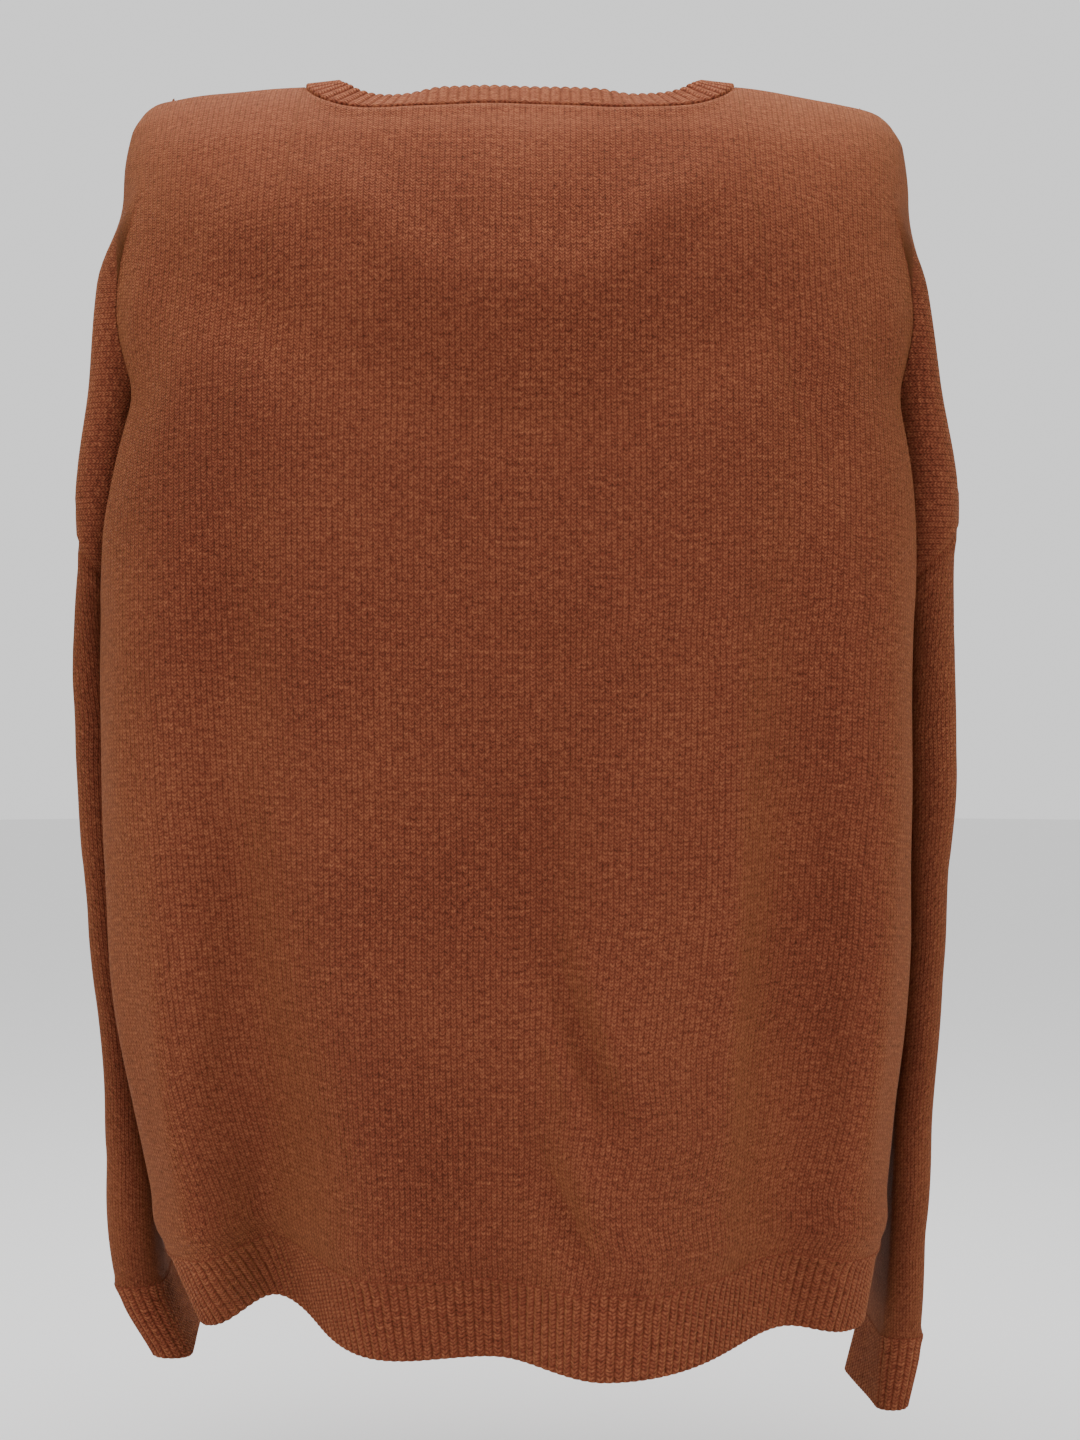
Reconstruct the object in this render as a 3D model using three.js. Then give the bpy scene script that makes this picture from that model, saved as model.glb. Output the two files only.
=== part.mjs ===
// A loose V-neck pullover in jersey knit with ribbed bands, hanging as it does on a wearer whose arms are
// not in the sleeves: the body is filled out, the long shoulders drop down the sides, and the sleeves hang
// empty and flattened.
//
// Frame, in millimetres: +X is to the wearer's right, +Y is forwards, +Z is up. The origin lies midway
// between the two high points of the shoulders, where the wearer carries the garment.
//
// Each cloth piece is a closed wall over a grid of points. The body is made from level sections, given by
// how far they lie below the shoulder line, and each sleeve from flattened loops round the arm. The rib
// stitches of the bands are raised on the outside of a plain inner face.
import * as THREE from "three";

// ---- Driving sizes ----

const WALL = 2.4; // thickness of the knitted cloth
const SEAM_PULL = 0.18; // how far each piece stops short of its seam line
const BAND_WALL = 2.6; // thickness of the ribbed bands between their ribs
const RIB_PITCH = 5.3; // distance from rib to rib
const RIB_HEIGHT = 1.1; // how far a rib stands out of the band

const NECK_HALF = 112; // from the middle to the high point of the shoulder
const BACK_NECK_DROP = 25; // how far the neck seam dips at the back
const NECK_RISE = 4.5; // how far it rises again at the middle of the back
const FRONT_NECK_DROP = 196; // depth of the V
const NECKBAND_WIDTH = 18;
const NECKBAND_MITRE = 36; // its depth on the centre line, where its two sides meet at the V

const BACK_SEAM_DROP = 605; // the seam between the body and its hem rib
const FRONT_SEAM_DROP = 615;
const HEM_WIDTH = 40;
const CUFF_WIDTH = 39;

const SHOULDER_END_DROP = 15; // how far the shoulder seam has dropped where it turns down the side
const ARMHOLE_TOP = -219; // height of the armhole seam at the end of the shoulder seam
const UNDERARM_DROP = 292; // the underarm, where the side seam starts

const BODY_COLUMNS = 14; // from the centre line to the side
const NECK_COLUMNS = 8; // of them, those that start at the neck seam
const ARM_COLUMNS = 7; // from the underarm to the shoulder seam
const ROW_STEP = 31; // spacing of the rows below the underarm
const SLEEVE_ROWS = 12;

// ---- Tables ----

// Sections of the body. drop: below the shoulder line. left, right: half widths. back, front: depths.
// square: 2 for an ellipse, more for a section with squarer corners.
const BODY = [
  { drop: 0, left: 184, right: 181, back: 0, front: 0, square: 2.6 },
  { drop: 4, left: 194, right: 191, back: 25, front: 24, square: 2.6 },
  { drop: 10, left: 200, right: 197, back: 40, front: 38, square: 2.7 },
  { drop: 22, left: 205, right: 202, back: 59, front: 54, square: 2.9 },
  { drop: 45, left: 207, right: 203, back: 82, front: 74, square: 3.1 },
  { drop: 90, left: 205, right: 200, back: 103, front: 95, square: 3.5 },
  { drop: 160, left: 203, right: 198, back: 114, front: 110, square: 4 },
  { drop: 230, left: 206, right: 197.5, back: 117, front: 115, square: 4.4 },
  { drop: 292, left: 210.5, right: 198.5, back: 117, front: 114, square: 4.7 },
  { drop: 350, left: 211.5, right: 199.5, back: 116, front: 113, square: 4.6 },
  { drop: 440, left: 210, right: 201, back: 115, front: 114, square: 4 },
  { drop: 530, left: 200, right: 195, back: 115, front: 116, square: 3.3 },
  { drop: 590, left: 187, right: 188, back: 115, front: 116, square: 2.9 },
  { drop: 645, left: 168, right: 180, back: 113, front: 114, square: 2.5 },
];

// Level loops of each arm. outer, inner: distance of the two flat sides from the middle of the garment.
// back, front: where the loop ends behind and before. turn: degrees that its front end stands outwards.
const ARMS = {
  left: [
    { z: -28, outer: 209, inner: 196, back: -36, front: 36, turn: 5 },
    { z: -60, outer: 220, inner: 200, back: -50, front: 48, turn: 10 },
    { z: -100, outer: 232, inner: 203, back: -60, front: 61, turn: 11 },
    { z: -160, outer: 240, inner: 204.5, back: -65, front: 79, turn: 10.5 },
    { z: -219, outer: 243.3, inner: 209.4, back: -62, front: 91, turn: 8 },
    { z: -250, outer: 238.9, inner: 216.9, back: -56, front: 98, turn: 6 },
    { z: -292, outer: 238.1, inner: 218.6, back: -42, front: 101, turn: 4 },
    { z: -350, outer: 237, inner: 217.8, back: -32, front: 104, turn: 4 },
    { z: -440, outer: 233.9, inner: 215.8, back: -22, front: 105, turn: 4 },
    { z: -545, outer: 225.5, inner: 206.3, back: -6, front: 103, turn: 4 },
    { z: -605, outer: 222.5, inner: 203, back: 5, front: 100, turn: 3 },
    { z: -637, outer: 218.5, inner: 196.5, back: 10, front: 96, turn: 2 },
    { z: -676, outer: 203, inner: 180, back: 12, front: 96, turn: 5 },
  ],
  right: [
    { z: -28, outer: 206, inner: 192, back: -36, front: 36, turn: 5 },
    { z: -60, outer: 214, inner: 197, back: -50, front: 48, turn: 8 },
    { z: -100, outer: 222.5, inner: 199, back: -60, front: 61, turn: 10 },
    { z: -160, outer: 233, inner: 200, back: -65, front: 79, turn: 9.5 },
    { z: -219, outer: 242, inner: 203, back: -62, front: 91, turn: 8.5 },
    { z: -250, outer: 240, inner: 205, back: -56, front: 98, turn: 8 },
    { z: -292, outer: 236.5, inner: 207, back: -45, front: 101, turn: 6 },
    { z: -350, outer: 237.5, inner: 209, back: -34, front: 104, turn: 6 },
    { z: -440, outer: 232.5, inner: 209, back: -24, front: 105, turn: 5 },
    { z: -545, outer: 223.5, inner: 202, back: -8, front: 103, turn: 3 },
    { z: -620, outer: 217.5, inner: 197, back: 4, front: 100, turn: 0 },
    { z: -665, outer: 214, inner: 193, back: 10, front: 96, turn: -2 },
    { z: -704, outer: 201, inner: 187, back: 12, front: 96, turn: -6 },
  ],
};
const CUFF_TOP = { left: -637, right: -665 };

// Where the fold between body and arm lies on the body's section, as degrees from the centre line.
const ARM_FOLD = [
  { drop: 0, angle: 90 },
  { drop: 4, angle: 68 },
  { drop: 15, angle: 62 },
  { drop: 45, angle: 60 },
  { drop: 120, angle: 64 },
  { drop: 200, angle: 72 },
  { drop: 292, angle: 90 },
];

// Soft folds of the body. face: -1 back, 1 front. x, top: where a fold starts. footX, foot: where it is
// fullest. left, right: its half widths to each side. out: how far it stands out, or in where negative.
// lift: how far it raises the hem.
const FOLDS = [
  { face: -1, x: 26, top: -360, footX: 41, foot: -650, left: 30, right: 62, out: 22, lift: -3 },
  { face: -1, x: -128, top: -380, footX: -124, foot: -650, left: 24, right: 30, out: -50, lift: 16 },
  { face: -1, x: 138, top: -210, footX: 130, foot: -650, left: 34, right: 26, out: -26, lift: 7 },
  { face: -1, x: -12, top: -480, footX: -12, foot: -650, left: 34, right: 22, out: -5, lift: 3 },
  { face: -1, x: 0, top: -90, footX: 0, foot: -185, left: 90, right: 90, out: -4, lift: 0 },
  { face: 1, x: 62, top: -330, footX: 78, foot: -660, left: 36, right: 30, out: -20, lift: 6 },
  { face: 1, x: 4, top: -380, footX: 12, foot: -660, left: 44, right: 34, out: 14, lift: -3 },
  { face: 1, x: -70, top: -300, footX: -62, foot: -660, left: 30, right: 34, out: -15, lift: 5 },
  { face: 1, x: -118, top: -420, footX: -112, foot: -660, left: 26, right: 22, out: 9, lift: -2 },
];

// ---- Small helpers ----

const clamp01 = (t) => Math.min(1, Math.max(0, t));
const mix = (a, b, t) => a + (b - a) * t;
const ease = (t) => clamp01(t) ** 2 * (3 - 2 * clamp01(t));
const bell = (d) => Math.exp(-d * d);

// A reader for one column of a table: a smooth curve through the rows that never overshoots them.
function column(rows, key, name) {
  const at = rows.map((row) => row[key]);
  const value = rows.map((row) => row[name]);
  const order = at[0] < at[at.length - 1] ? 1 : -1;
  const chord = at.slice(1).map((a, i) => (value[i + 1] - value[i]) / (a - at[i]));
  const slope = value.map((_, i) => {
    const before = chord[Math.max(0, i - 1)];
    const after = chord[Math.min(chord.length - 1, i)];
    return before * after > 0 ? (2 * before * after) / (before + after) : 0;
  });
  slope[0] = chord[0];
  slope[slope.length - 1] = chord[chord.length - 1];
  return (place) => {
    let i = 0;
    while (i < chord.length - 1 && order * place > order * at[i + 1]) i += 1;
    const span = at[i + 1] - at[i];
    const t = clamp01((place - at[i]) / span);
    const bent = t * t * (3 - 2 * t);
    const pull = t * (1 - t) * span;
    return mix(value[i], value[i + 1], bent) + pull * ((1 - t) * slope[i] - t * slope[i + 1]);
  };
}

const readers = (rows, key, names) =>
  Object.fromEntries(names.map((name) => [name, column(rows, key, name)]));

const body = readers(BODY, "drop", ["left", "right", "back", "front", "square"]);
const foldAngle = column(ARM_FOLD, "drop", "angle");
const LOOP_COLUMNS = ["outer", "inner", "back", "front", "turn"];
const arms = {
  left: readers(ARMS.left, "z", LOOP_COLUMNS),
  right: readers(ARMS.right, "z", LOOP_COLUMNS),
};
const sideName = (side) => (side < 0 ? "left" : "right");

// ---- The body's surface ----

// The shoulder line falls gently from the neck, a little more on the right, and fades out lower down.
const SHOULDER_SLOPE = { left: 0.07, right: 0.15 };
const SLOPE_ENDS = 260;

function shoulderLine(x, drop) {
  const out = Math.max(0, Math.abs(x) - NECK_HALF);
  return -SHOULDER_SLOPE[sideName(x)] * out * (1 - ease(drop / SLOPE_ENDS));
}

// The jersey blouses a little over the hem rib.
const BLOUSE = { out: 3, above: 13, height: 12 };

function blouse(face, z) {
  const seam = -(face < 0 ? BACK_SEAM_DROP : FRONT_SEAM_DROP);
  return BLOUSE.out * bell((z - seam - BLOUSE.above) / BLOUSE.height);
}

function addFolds(face, point, nearSide) {
  for (const fold of FOLDS.filter((each) => each.face === face)) {
    const along = (fold.top - point.z) / (fold.top - fold.foot);
    const strength = ease(along) ** 1.3 * nearSide;
    const across = point.x - mix(fold.x, fold.footX, clamp01(along));
    const shape = strength * bell(across / (across < 0 ? fold.left : fold.right));
    point.y += face * fold.out * shape;
    point.z += fold.lift * shape * clamp01(along) ** 2;
  }
  return point;
}

// A point of the body's outside. face: -1 back, 1 front. side: -1 left, 1 right. angle: round the section,
// from the centre line (0) to the side (90 degrees).
function bodyPoint(face, side, angle, drop) {
  const power = 2 / body.square(drop);
  const half = body[sideName(side)](drop);
  const depth = face < 0 ? body.back(drop) : body.front(drop);
  const forward = Math.max(0, Math.cos(angle)) ** power;
  const x = side * half * Math.sin(angle) ** power;
  const z = shoulderLine(x, drop) - drop;
  const swell = 1 + blouse(face, z) / half;
  const point = new THREE.Vector3(x * swell, face * depth * forward * swell, z);
  return addFolds(face, point, clamp01(2.2 * forward));
}

// The angle at which a section lies a distance out from the centre line.
function angleAt(side, drop, out) {
  return Math.asin(clamp01(out / body[sideName(side)](drop)) ** (body.square(drop) / 2));
}

// The angle that lies a share of the way along a section, from the centre line to endAngle.
function angleAlong(face, side, drop, endAngle, share) {
  const STEPS = 60;
  const power = 2 / body.square(drop);
  const half = body[sideName(side)](drop);
  const depth = face < 0 ? body.back(drop) : body.front(drop);
  const travelled = [0];
  for (let i = 1; i <= STEPS; i += 1) {
    const [to, from] = [i, i - 1].map((n) => (endAngle * n) / STEPS);
    const x = half * (Math.sin(to) ** power - Math.sin(from) ** power);
    const y = depth * (Math.cos(to) ** power - Math.cos(from) ** power);
    travelled.push(travelled[i - 1] + Math.hypot(x, y));
  }
  const wanted = share * travelled[STEPS];
  const i = Math.max(1, travelled.findIndex((reach) => reach >= wanted - 1e-9));
  const t = (wanted - travelled[i - 1]) / (travelled[i] - travelled[i - 1] || 1);
  return (endAngle * (i - 1 + clamp01(t))) / STEPS;
}

// How far below the shoulder line the neck seam lies at a share of the way out to the high point.
function neckDrop(face, share) {
  if (share >= 1) return 0;
  if (face < 0) return BACK_NECK_DROP * (1 - share ** 7) ** 0.72 - NECK_RISE * bell(share / 0.42);
  return FRONT_NECK_DROP * (1 - share) ** 0.94;
}
const NECK_FADES = { back: 150, front: 420 };
const SPREAD_DROP = 120; // from here down the columns lie at equal distances round the section

// Shares of the half section at which the columns lie.
const SHOULDER_HALF = (BODY[0].left + BODY[0].right) / 2;
function columnShare(j) {
  const neck = NECK_HALF / SHOULDER_HALF;
  if (j <= NECK_COLUMNS) return (neck * j) / NECK_COLUMNS;
  return mix(neck, 1, (j - NECK_COLUMNS) / (BODY_COLUMNS - NECK_COLUMNS));
}

// ---- The arm's surface ----

// A flattened loop round the arm at one height: two flat sides joined by half circles.
function armLoop(side, z) {
  const arm = arms[sideName(side)];
  const turn = THREE.MathUtils.degToRad(arm.turn(z));
  const length = (arm.front(z) - arm.back(z)) / 2;
  const spread = Math.sin(turn);
  // outer is the furthest reach: radius + flat * spread beyond the middle of the loop
  const radius = (arm.outer(z) - arm.inner(z) - spread * length) / (2 - spread);
  const flat = length - radius;
  return {
    side,
    z,
    radius,
    flat,
    turn,
    x: arm.inner(z) + radius,
    y: (arm.front(z) + arm.back(z)) / 2,
    around: 4 * flat + 2 * Math.PI * radius,
  };
}

// The outward direction at a place on the loop.
function loopNormal(loop, way) {
  const along = onLoop(loop, way + 0.5).sub(onLoop(loop, way - 0.5));
  return along.cross(new THREE.Vector3(0, 0, loop.side)).normalize();
}

// A point of the loop. way: distance round it from the middle of the outer side, backwards.
function onLoop(loop, way) {
  const { radius, flat, turn } = loop;
  const bend = Math.PI * radius;
  let rest = ((way % loop.around) + loop.around) % loop.around;
  let local;
  if (rest < flat) local = [radius, -rest];
  else if ((rest -= flat) < bend)
    local = [radius * Math.cos(rest / radius), -flat - radius * Math.sin(rest / radius)];
  else if ((rest -= bend) < 2 * flat) local = [-radius, rest - flat];
  else if ((rest -= 2 * flat) < bend)
    local = [-radius * Math.cos(rest / radius), flat + radius * Math.sin(rest / radius)];
  else local = [radius, flat - (rest - bend)];
  const x = loop.x + local[0] * Math.cos(turn) + local[1] * Math.sin(turn);
  const y = loop.y - local[0] * Math.sin(turn) + local[1] * Math.cos(turn);
  return new THREE.Vector3(loop.side * x, y, loop.z);
}

// The shoulder seam runs down the outer side at y = 0, and the underarm is opposite it on the inner side.
// Low on the sleeve, which hangs forwards, both lines move forwards with it.
const seamWay = (loop) => Math.min(loop.y, loop.flat / 2);
const underarmWay = (loop) => 2 * loop.flat + Math.PI * loop.radius - seamWay(loop);

// Shares of the way from the underarm to the shoulder seam at which the columns lie. Two cells cover the
// inner side, three the bend and two the outer side.
function armShares(loop, face) {
  const side = loop.flat + face * seamWay(loop);
  const bend = Math.PI * loop.radius;
  const whole = 2 * side + bend;
  const places = [0, side / 2, side, side + bend / 3, side + (2 * bend) / 3, side + bend];
  return [...places, 1.5 * side + bend, whole].map((place) => place / whole);
}
const armWay = (loop, face, share) => {
  const under = face < 0 ? underarmWay(loop) : underarmWay(loop) - loop.around;
  return mix(under, seamWay(loop), share);
};
// The same before the fold has worked its way in, where only the outer half of the bend is cloth.
const CAP_SHARES = [0, 0.07, 0.15, 0.25, 0.38, 0.56, 0.78, 1];

// ---- Rows of the body panels ----

const UPPER_DROPS = [0, 3.5, 10, 22, 40, 64, 94, 128, 166, 206, 249, UNDERARM_DROP];
const UNDERARM_ROW = UPPER_DROPS.length - 1;

function panelDrops(face) {
  const seam = face < 0 ? BACK_SEAM_DROP : FRONT_SEAM_DROP;
  const count = Math.round((seam - UNDERARM_DROP) / ROW_STEP);
  const lower = Array.from({ length: count }, (_, i) =>
    mix(UNDERARM_DROP, seam, (i + 1) / count),
  );
  return [...UPPER_DROPS, ...lower];
}

const CAP = { ends: 48, armStarts: 112 }; // the rounded shoulder end gives way to the arm between these
const FOLD_TURNS = 120; // the drop from which the fold works its way in under the arm

// The panel's arm part in one row: points from the fold to the shoulder seam.
function armPart(face, side, drop) {
  const down = drop / UNDERARM_DROP;
  const line = shoulderLine(side * SHOULDER_HALF, drop);
  const startZ = shoulderLine(side * SHOULDER_HALF, 0) - SHOULDER_END_DROP;
  const foldZ = line - drop;
  const seamZ = mix(startZ, ARMHOLE_TOP, down ** 0.9);
  const turned = ease((drop - FOLD_TURNS) / (UNDERARM_DROP - FOLD_TURNS));
  const blend = ease((drop - CAP.ends) / (CAP.armStarts - CAP.ends));
  const middle = armShares(armLoop(side, (foldZ + seamZ) / 2), face);
  return CAP_SHARES.map((capShare, j) => {
    const share = mix(mix(j / ARM_COLUMNS, capShare, blend), middle[j], turned);
    const z = mix(foldZ, seamZ, ease(share));
    const capAngle = THREE.MathUtils.degToRad(mix(foldAngle(drop), 90, share));
    const cap = bodyPoint(face, side, capAngle, shoulderLine(side * SHOULDER_HALF, 0) - z);
    const loop = armLoop(side, z);
    const tip = loop.flat + (Math.PI / 2) * loop.radius;
    const under = face < 0 ? underarmWay(loop) : loop.around - underarmWay(loop);
    const fold = mix(tip, under, turned);
    return cap.lerp(onLoop(loop, mix(-face * fold, seamWay(loop), share)), blend);
  });
}

// One row of a half panel, from the centre line to the side: BODY_COLUMNS + 1 points.
const SNAP_FROM = 0.72; // the share of the row from which it bends to meet the arm part
function bodyRow(face, side, drop) {
  const shares = Array.from({ length: BODY_COLUMNS + 1 }, (_, j) => columnShare(j));
  const end = THREE.MathUtils.degToRad(foldAngle(Math.min(drop, UNDERARM_DROP)));
  const fades = face < 0 ? NECK_FADES.back : NECK_FADES.front;
  const row = shares.map((share) => {
    const neck = neckDrop(face, (share * SHOULDER_HALF) / NECK_HALF);
    const at = drop + neck * clamp01(1 - drop / fades);
    const reach = body[sideName(side)](at) * Math.sin(end) ** (2 / body.square(at));
    const straight = angleAt(side, at, share * mix(SHOULDER_HALF, reach, clamp01(2 * share - 1)));
    const even = angleAlong(face, side, at, end, share);
    return bodyPoint(face, side, mix(straight, even, ease(drop / SPREAD_DROP)), at);
  });
  if (drop <= UNDERARM_DROP) {
    const snap = armPart(face, side, drop)[0].sub(bodyPoint(face, side, end, drop));
    shares.forEach((share, j) => {
      row[j].addScaledVector(snap, ease((share - SNAP_FROM) / (1 - SNAP_FROM)));
    });
  }
  return row;
}

// ---- Grids and walls ----

// A patch of cloth: rows of points on its outside, and the outward normal at each.
// Cells that a panel doesn't have, such as those below the underarm, hold no point.
function normalsOf(rows, flip) {
  const near = (i, j, di, dj) => {
    const next = rows[i + di] && rows[i + di][j + dj];
    return next || rows[i][j];
  };
  return rows.map((row, i) =>
    row.map((point, j) => {
      if (!point) return null;
      const across = near(i, j, 0, 1).clone().sub(near(i, j, 0, -1));
      const down = near(i, j, 1, 0).clone().sub(near(i, j, -1, 0));
      return across.cross(down).normalize().multiplyScalar(flip);
    }),
  );
}

// Closes a grid of outer and inner points into a solid wall. open: true for a sheet with four free edges,
// false for a tube whose last column joins its first.
function wall(outer, inner, sheet) {
  const positions = [];
  const index = new Map();
  const vertex = (point) => {
    if (!index.has(point)) {
      index.set(point, positions.length / 3);
      positions.push(point.x, point.y, point.z);
    }
    return index.get(point);
  };
  const faces = [];
  const edges = new Map();
  const triangle = (a, b, c) => faces.push(vertex(a), vertex(b), vertex(c));
  const count = outer[0].length;
  const cells = sheet ? count - 1 : count;
  const addEdge = (from, to, fromInner, toInner) => {
    const key = `${vertex(to)}>${vertex(from)}`;
    if (edges.has(key)) edges.delete(key);
    else edges.set(`${vertex(from)}>${vertex(to)}`, [from, to, fromInner, toInner]);
  };
  for (let i = 0; i + 1 < outer.length; i += 1) {
    for (let j = 0; j < cells; j += 1) {
      const k = (j + 1) % count;
      const corners = [[i, j], [i + 1, j], [i + 1, k], [i, k]];
      if (corners.some(([r, c]) => !outer[r][c])) continue;
      const out = corners.map(([r, c]) => outer[r][c]);
      const into = corners.map(([r, c]) => inner[r][c]);
      const cut = out[0].distanceTo(out[2]) <= out[1].distanceTo(out[3]) ? 0 : 1;
      const turn = (list) => [0, 1, 2, 3].map((n) => list[(n + cut) % 4]);
      const [a, b, c, d] = turn(out);
      const [e, f, g, h] = turn(into);
      triangle(a, b, c);
      triangle(a, c, d);
      triangle(e, g, f);
      triangle(e, h, g);
      [0, 1, 2, 3].forEach((n) => {
        const m = (n + 1) % 4;
        addEdge(out[n], out[m], into[n], into[m]);
      });
    }
  }
  for (const [from, to, fromInner, toInner] of edges.values()) {
    if (to.distanceTo(fromInner) < from.distanceTo(toInner)) {
      triangle(to, from, fromInner);
      triangle(to, fromInner, toInner);
    } else {
      triangle(to, from, toInner);
      triangle(from, fromInner, toInner);
    }
  }
  const geometry = new THREE.BufferGeometry();
  geometry.setAttribute("position", new THREE.Float32BufferAttribute(positions, 3));
  geometry.setIndex(faces);
  geometry.computeVertexNormals();
  return geometry;
}

// Moves a point towards another by a distance.
function pulled(point, towards, distance) {
  const way = towards.clone().sub(point);
  return point.clone().addScaledVector(way.normalize(), distance);
}

// Stops the wall short of the seam at every point whose cell is on an edge of the patch.
function pullEdges(points, sheet) {
  const count = points[0].length;
  const at = (i, j) => {
    const column = sheet ? j : (j + count) % count;
    return points[i] && points[i][column];
  };
  return points.map((row, i) =>
    row.map((point, j) => {
      if (!point) return point;
      let moved = point.clone();
      for (const [di, dj] of [[1, 0], [0, 1]]) {
        const before = at(i - di, j - dj);
        const after = at(i + di, j + dj);
        if (before && !after) moved = pulled(moved, before, SEAM_PULL);
        if (after && !before) moved = pulled(moved, after, SEAM_PULL);
      }
      const corner = sheet && i === UNDERARM_ROW && Math.abs(j - MIDDLE) === BODY_COLUMNS;
      if (corner) {
        moved = pulled(moved, at(i - 1, j), SEAM_PULL);
        moved = pulled(moved, at(i, j - Math.sign(j - MIDDLE)), SEAM_PULL);
      }
      return moved;
    }),
  );
}

function innerOf(rows, normals, thickness) {
  return rows.map((row, i) =>
    row.map((point, j) => point && point.clone().addScaledVector(normals[i][j], -thickness)),
  );
}

// ---- Body panels ----

// The full grid of a panel, from the shoulder seam of the left arm to that of the right. The rows below
// the underarm have no arm part.
function panelGrid(face) {
  return panelDrops(face).map((drop, i) => {
    const half = (side) => {
      const arm = i <= UNDERARM_ROW ? armPart(face, side, drop) : Array(ARM_COLUMNS + 1).fill(null);
      return [...bodyRow(face, side, drop), ...arm.slice(1)];
    };
    return [...half(-1).reverse(), ...half(1).slice(1)];
  });
}

const COLUMNS = 2 * (BODY_COLUMNS + ARM_COLUMNS) + 1;
const MIDDLE = BODY_COLUMNS + ARM_COLUMNS;

// The fold between body and arm is a crease, so its normal is worked out along it instead of across it.
function creaseNormals(rows, normals, face) {
  for (const side of [-1, 1]) {
    const j = MIDDLE + side * BODY_COLUMNS;
    for (let i = 1; i <= UNDERARM_ROW; i += 1) {
      const along = rows[i + 1][j].clone().sub(rows[i - 1][j]);
      const crease = new THREE.Vector3(-face, 0, 0).cross(along).normalize();
      const share = ease((UPPER_DROPS[i] - CAP.ends) / (FOLD_TURNS - CAP.ends));
      normals[i][j].lerp(crease, share).normalize();
    }
    normals[UNDERARM_ROW][j].set(0, 0, -1);
    for (let k = 1; k <= ARM_COLUMNS; k += 1) {
      const place = j + side * k;
      const loop = armLoop(side, rows[UNDERARM_ROW][place].z);
      const share = armShares(loop, face)[k];
      normals[UNDERARM_ROW][place].copy(loopNormal(loop, armWay(loop, face, share)));
    }
  }
}

function makePanels() {
  const panel = {};
  for (const face of [-1, 1]) {
    const rows = panelGrid(face);
    const normals = normalsOf(rows, face);
    creaseNormals(rows, normals, face);
    panel[face] = { rows, normals };
  }
  // Both panels lean their walls the same way along the seams that join them.
  const { rows } = panel[-1];
  rows.forEach((row, i) =>
    row.forEach((point, j) => {
      const out = Math.abs(j - MIDDLE);
      const onShoulder = i === 0 && out >= NECK_COLUMNS;
      const onArm = i <= UNDERARM_ROW && out === BODY_COLUMNS + ARM_COLUMNS;
      const onSide = i >= UNDERARM_ROW && out === BODY_COLUMNS;
      if (!(onShoulder || onArm || onSide)) return;
      const pair = [-1, 1].map((face) => panel[face].normals[i][j]);
      const shared = pair[0].clone().add(pair[1]).setY(0).normalize();
      pair.forEach((normal) => normal.copy(shared));
    }),
  );
  return panel;
}

function panelGeometry({ rows, normals }, face) {
  const flipped = face > 0 ? (grid) => grid.map((row) => [...row].reverse()) : (grid) => grid;
  const [outer, inner] = [rows, innerOf(rows, normals, WALL)].map((points) => {
    const pulledIn = pullEdges(points, true);
    // Every point keeps to its own side of the seams, which lie at y = 0.
    pulledIn.flat().forEach((point) => {
      if (point && face * point.y < SEAM_PULL) point.y = face * SEAM_PULL;
    });
    return flipped(pulledIn);
  });
  return wall(outer, inner, true);
}

// ---- Sleeves ----

// The columns of a sleeve run from the shoulder seam, round behind to the underarm, and back before it.
const RING = Array.from({ length: 2 * ARM_COLUMNS }, (_, r) => ({
  face: r <= ARM_COLUMNS ? -1 : 1,
  column: Math.abs(ARM_COLUMNS - r),
}));

function sleevePoint(side, z, { face, column: at }) {
  const loop = armLoop(side, z);
  return onLoop(loop, armWay(loop, face, armShares(loop, face)[at]));
}

// A sleeve's rows start on the armhole's edge of the panels, just outside it at the underarm.
const UNDERARM_CLEAR = 0.4;
function sleeveGrid(side) {
  const start = RING.map(({ face, column: at }) => {
    const place = MIDDLE + side * (BODY_COLUMNS + at);
    const point = panels[face].rows[UNDERARM_ROW][place].clone();
    if (at === 0) point.x += side * UNDERARM_CLEAR;
    return { point, normal: panels[face].normals[UNDERARM_ROW][place] };
  });
  const rows = [start.map((each) => each.point)];
  for (let i = 1; i <= SLEEVE_ROWS; i += 1) {
    const place = (i / SLEEVE_ROWS) ** 1.05;
    rows.push(
      RING.map((at, j) =>
        sleevePoint(side, mix(start[j].point.z, CUFF_TOP[sideName(side)], place), at),
      ),
    );
  }
  const normals = tubeNormals(rows, side);
  normals[0] = start.map((each) => each.normal);
  return { rows, normals };
}

function tubeNormals(rows, side) {
  const count = rows[0].length;
  return rows.map((row, i) =>
    row.map((_, j) => {
      const across = row[(j + 1) % count].clone().sub(row[(j + count - 1) % count]);
      const below = rows[Math.min(i + 1, rows.length - 1)][j];
      const down = below.clone().sub(rows[Math.max(i - 1, 0)][j]);
      return across.cross(down).normalize().multiplyScalar(side);
    }),
  );
}

function tubeGeometry(outer, inner, side) {
  const facing = side < 0 ? (grid) => grid : (grid) => grid.map((row) => [...row].reverse());
  return wall(facing(pullEdges(outer, false)), facing(pullEdges(inner, false)), false);
}

// ---- Ribbed bands ----

// The point at a place along a chain of points, where 2.5 is halfway from the third to the fourth.
function onChain(chain, place) {
  const i = Math.min(Math.floor(place), chain.length - 2);
  return chain[i].clone().lerp(chain[i + 1], place - i);
}

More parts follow.
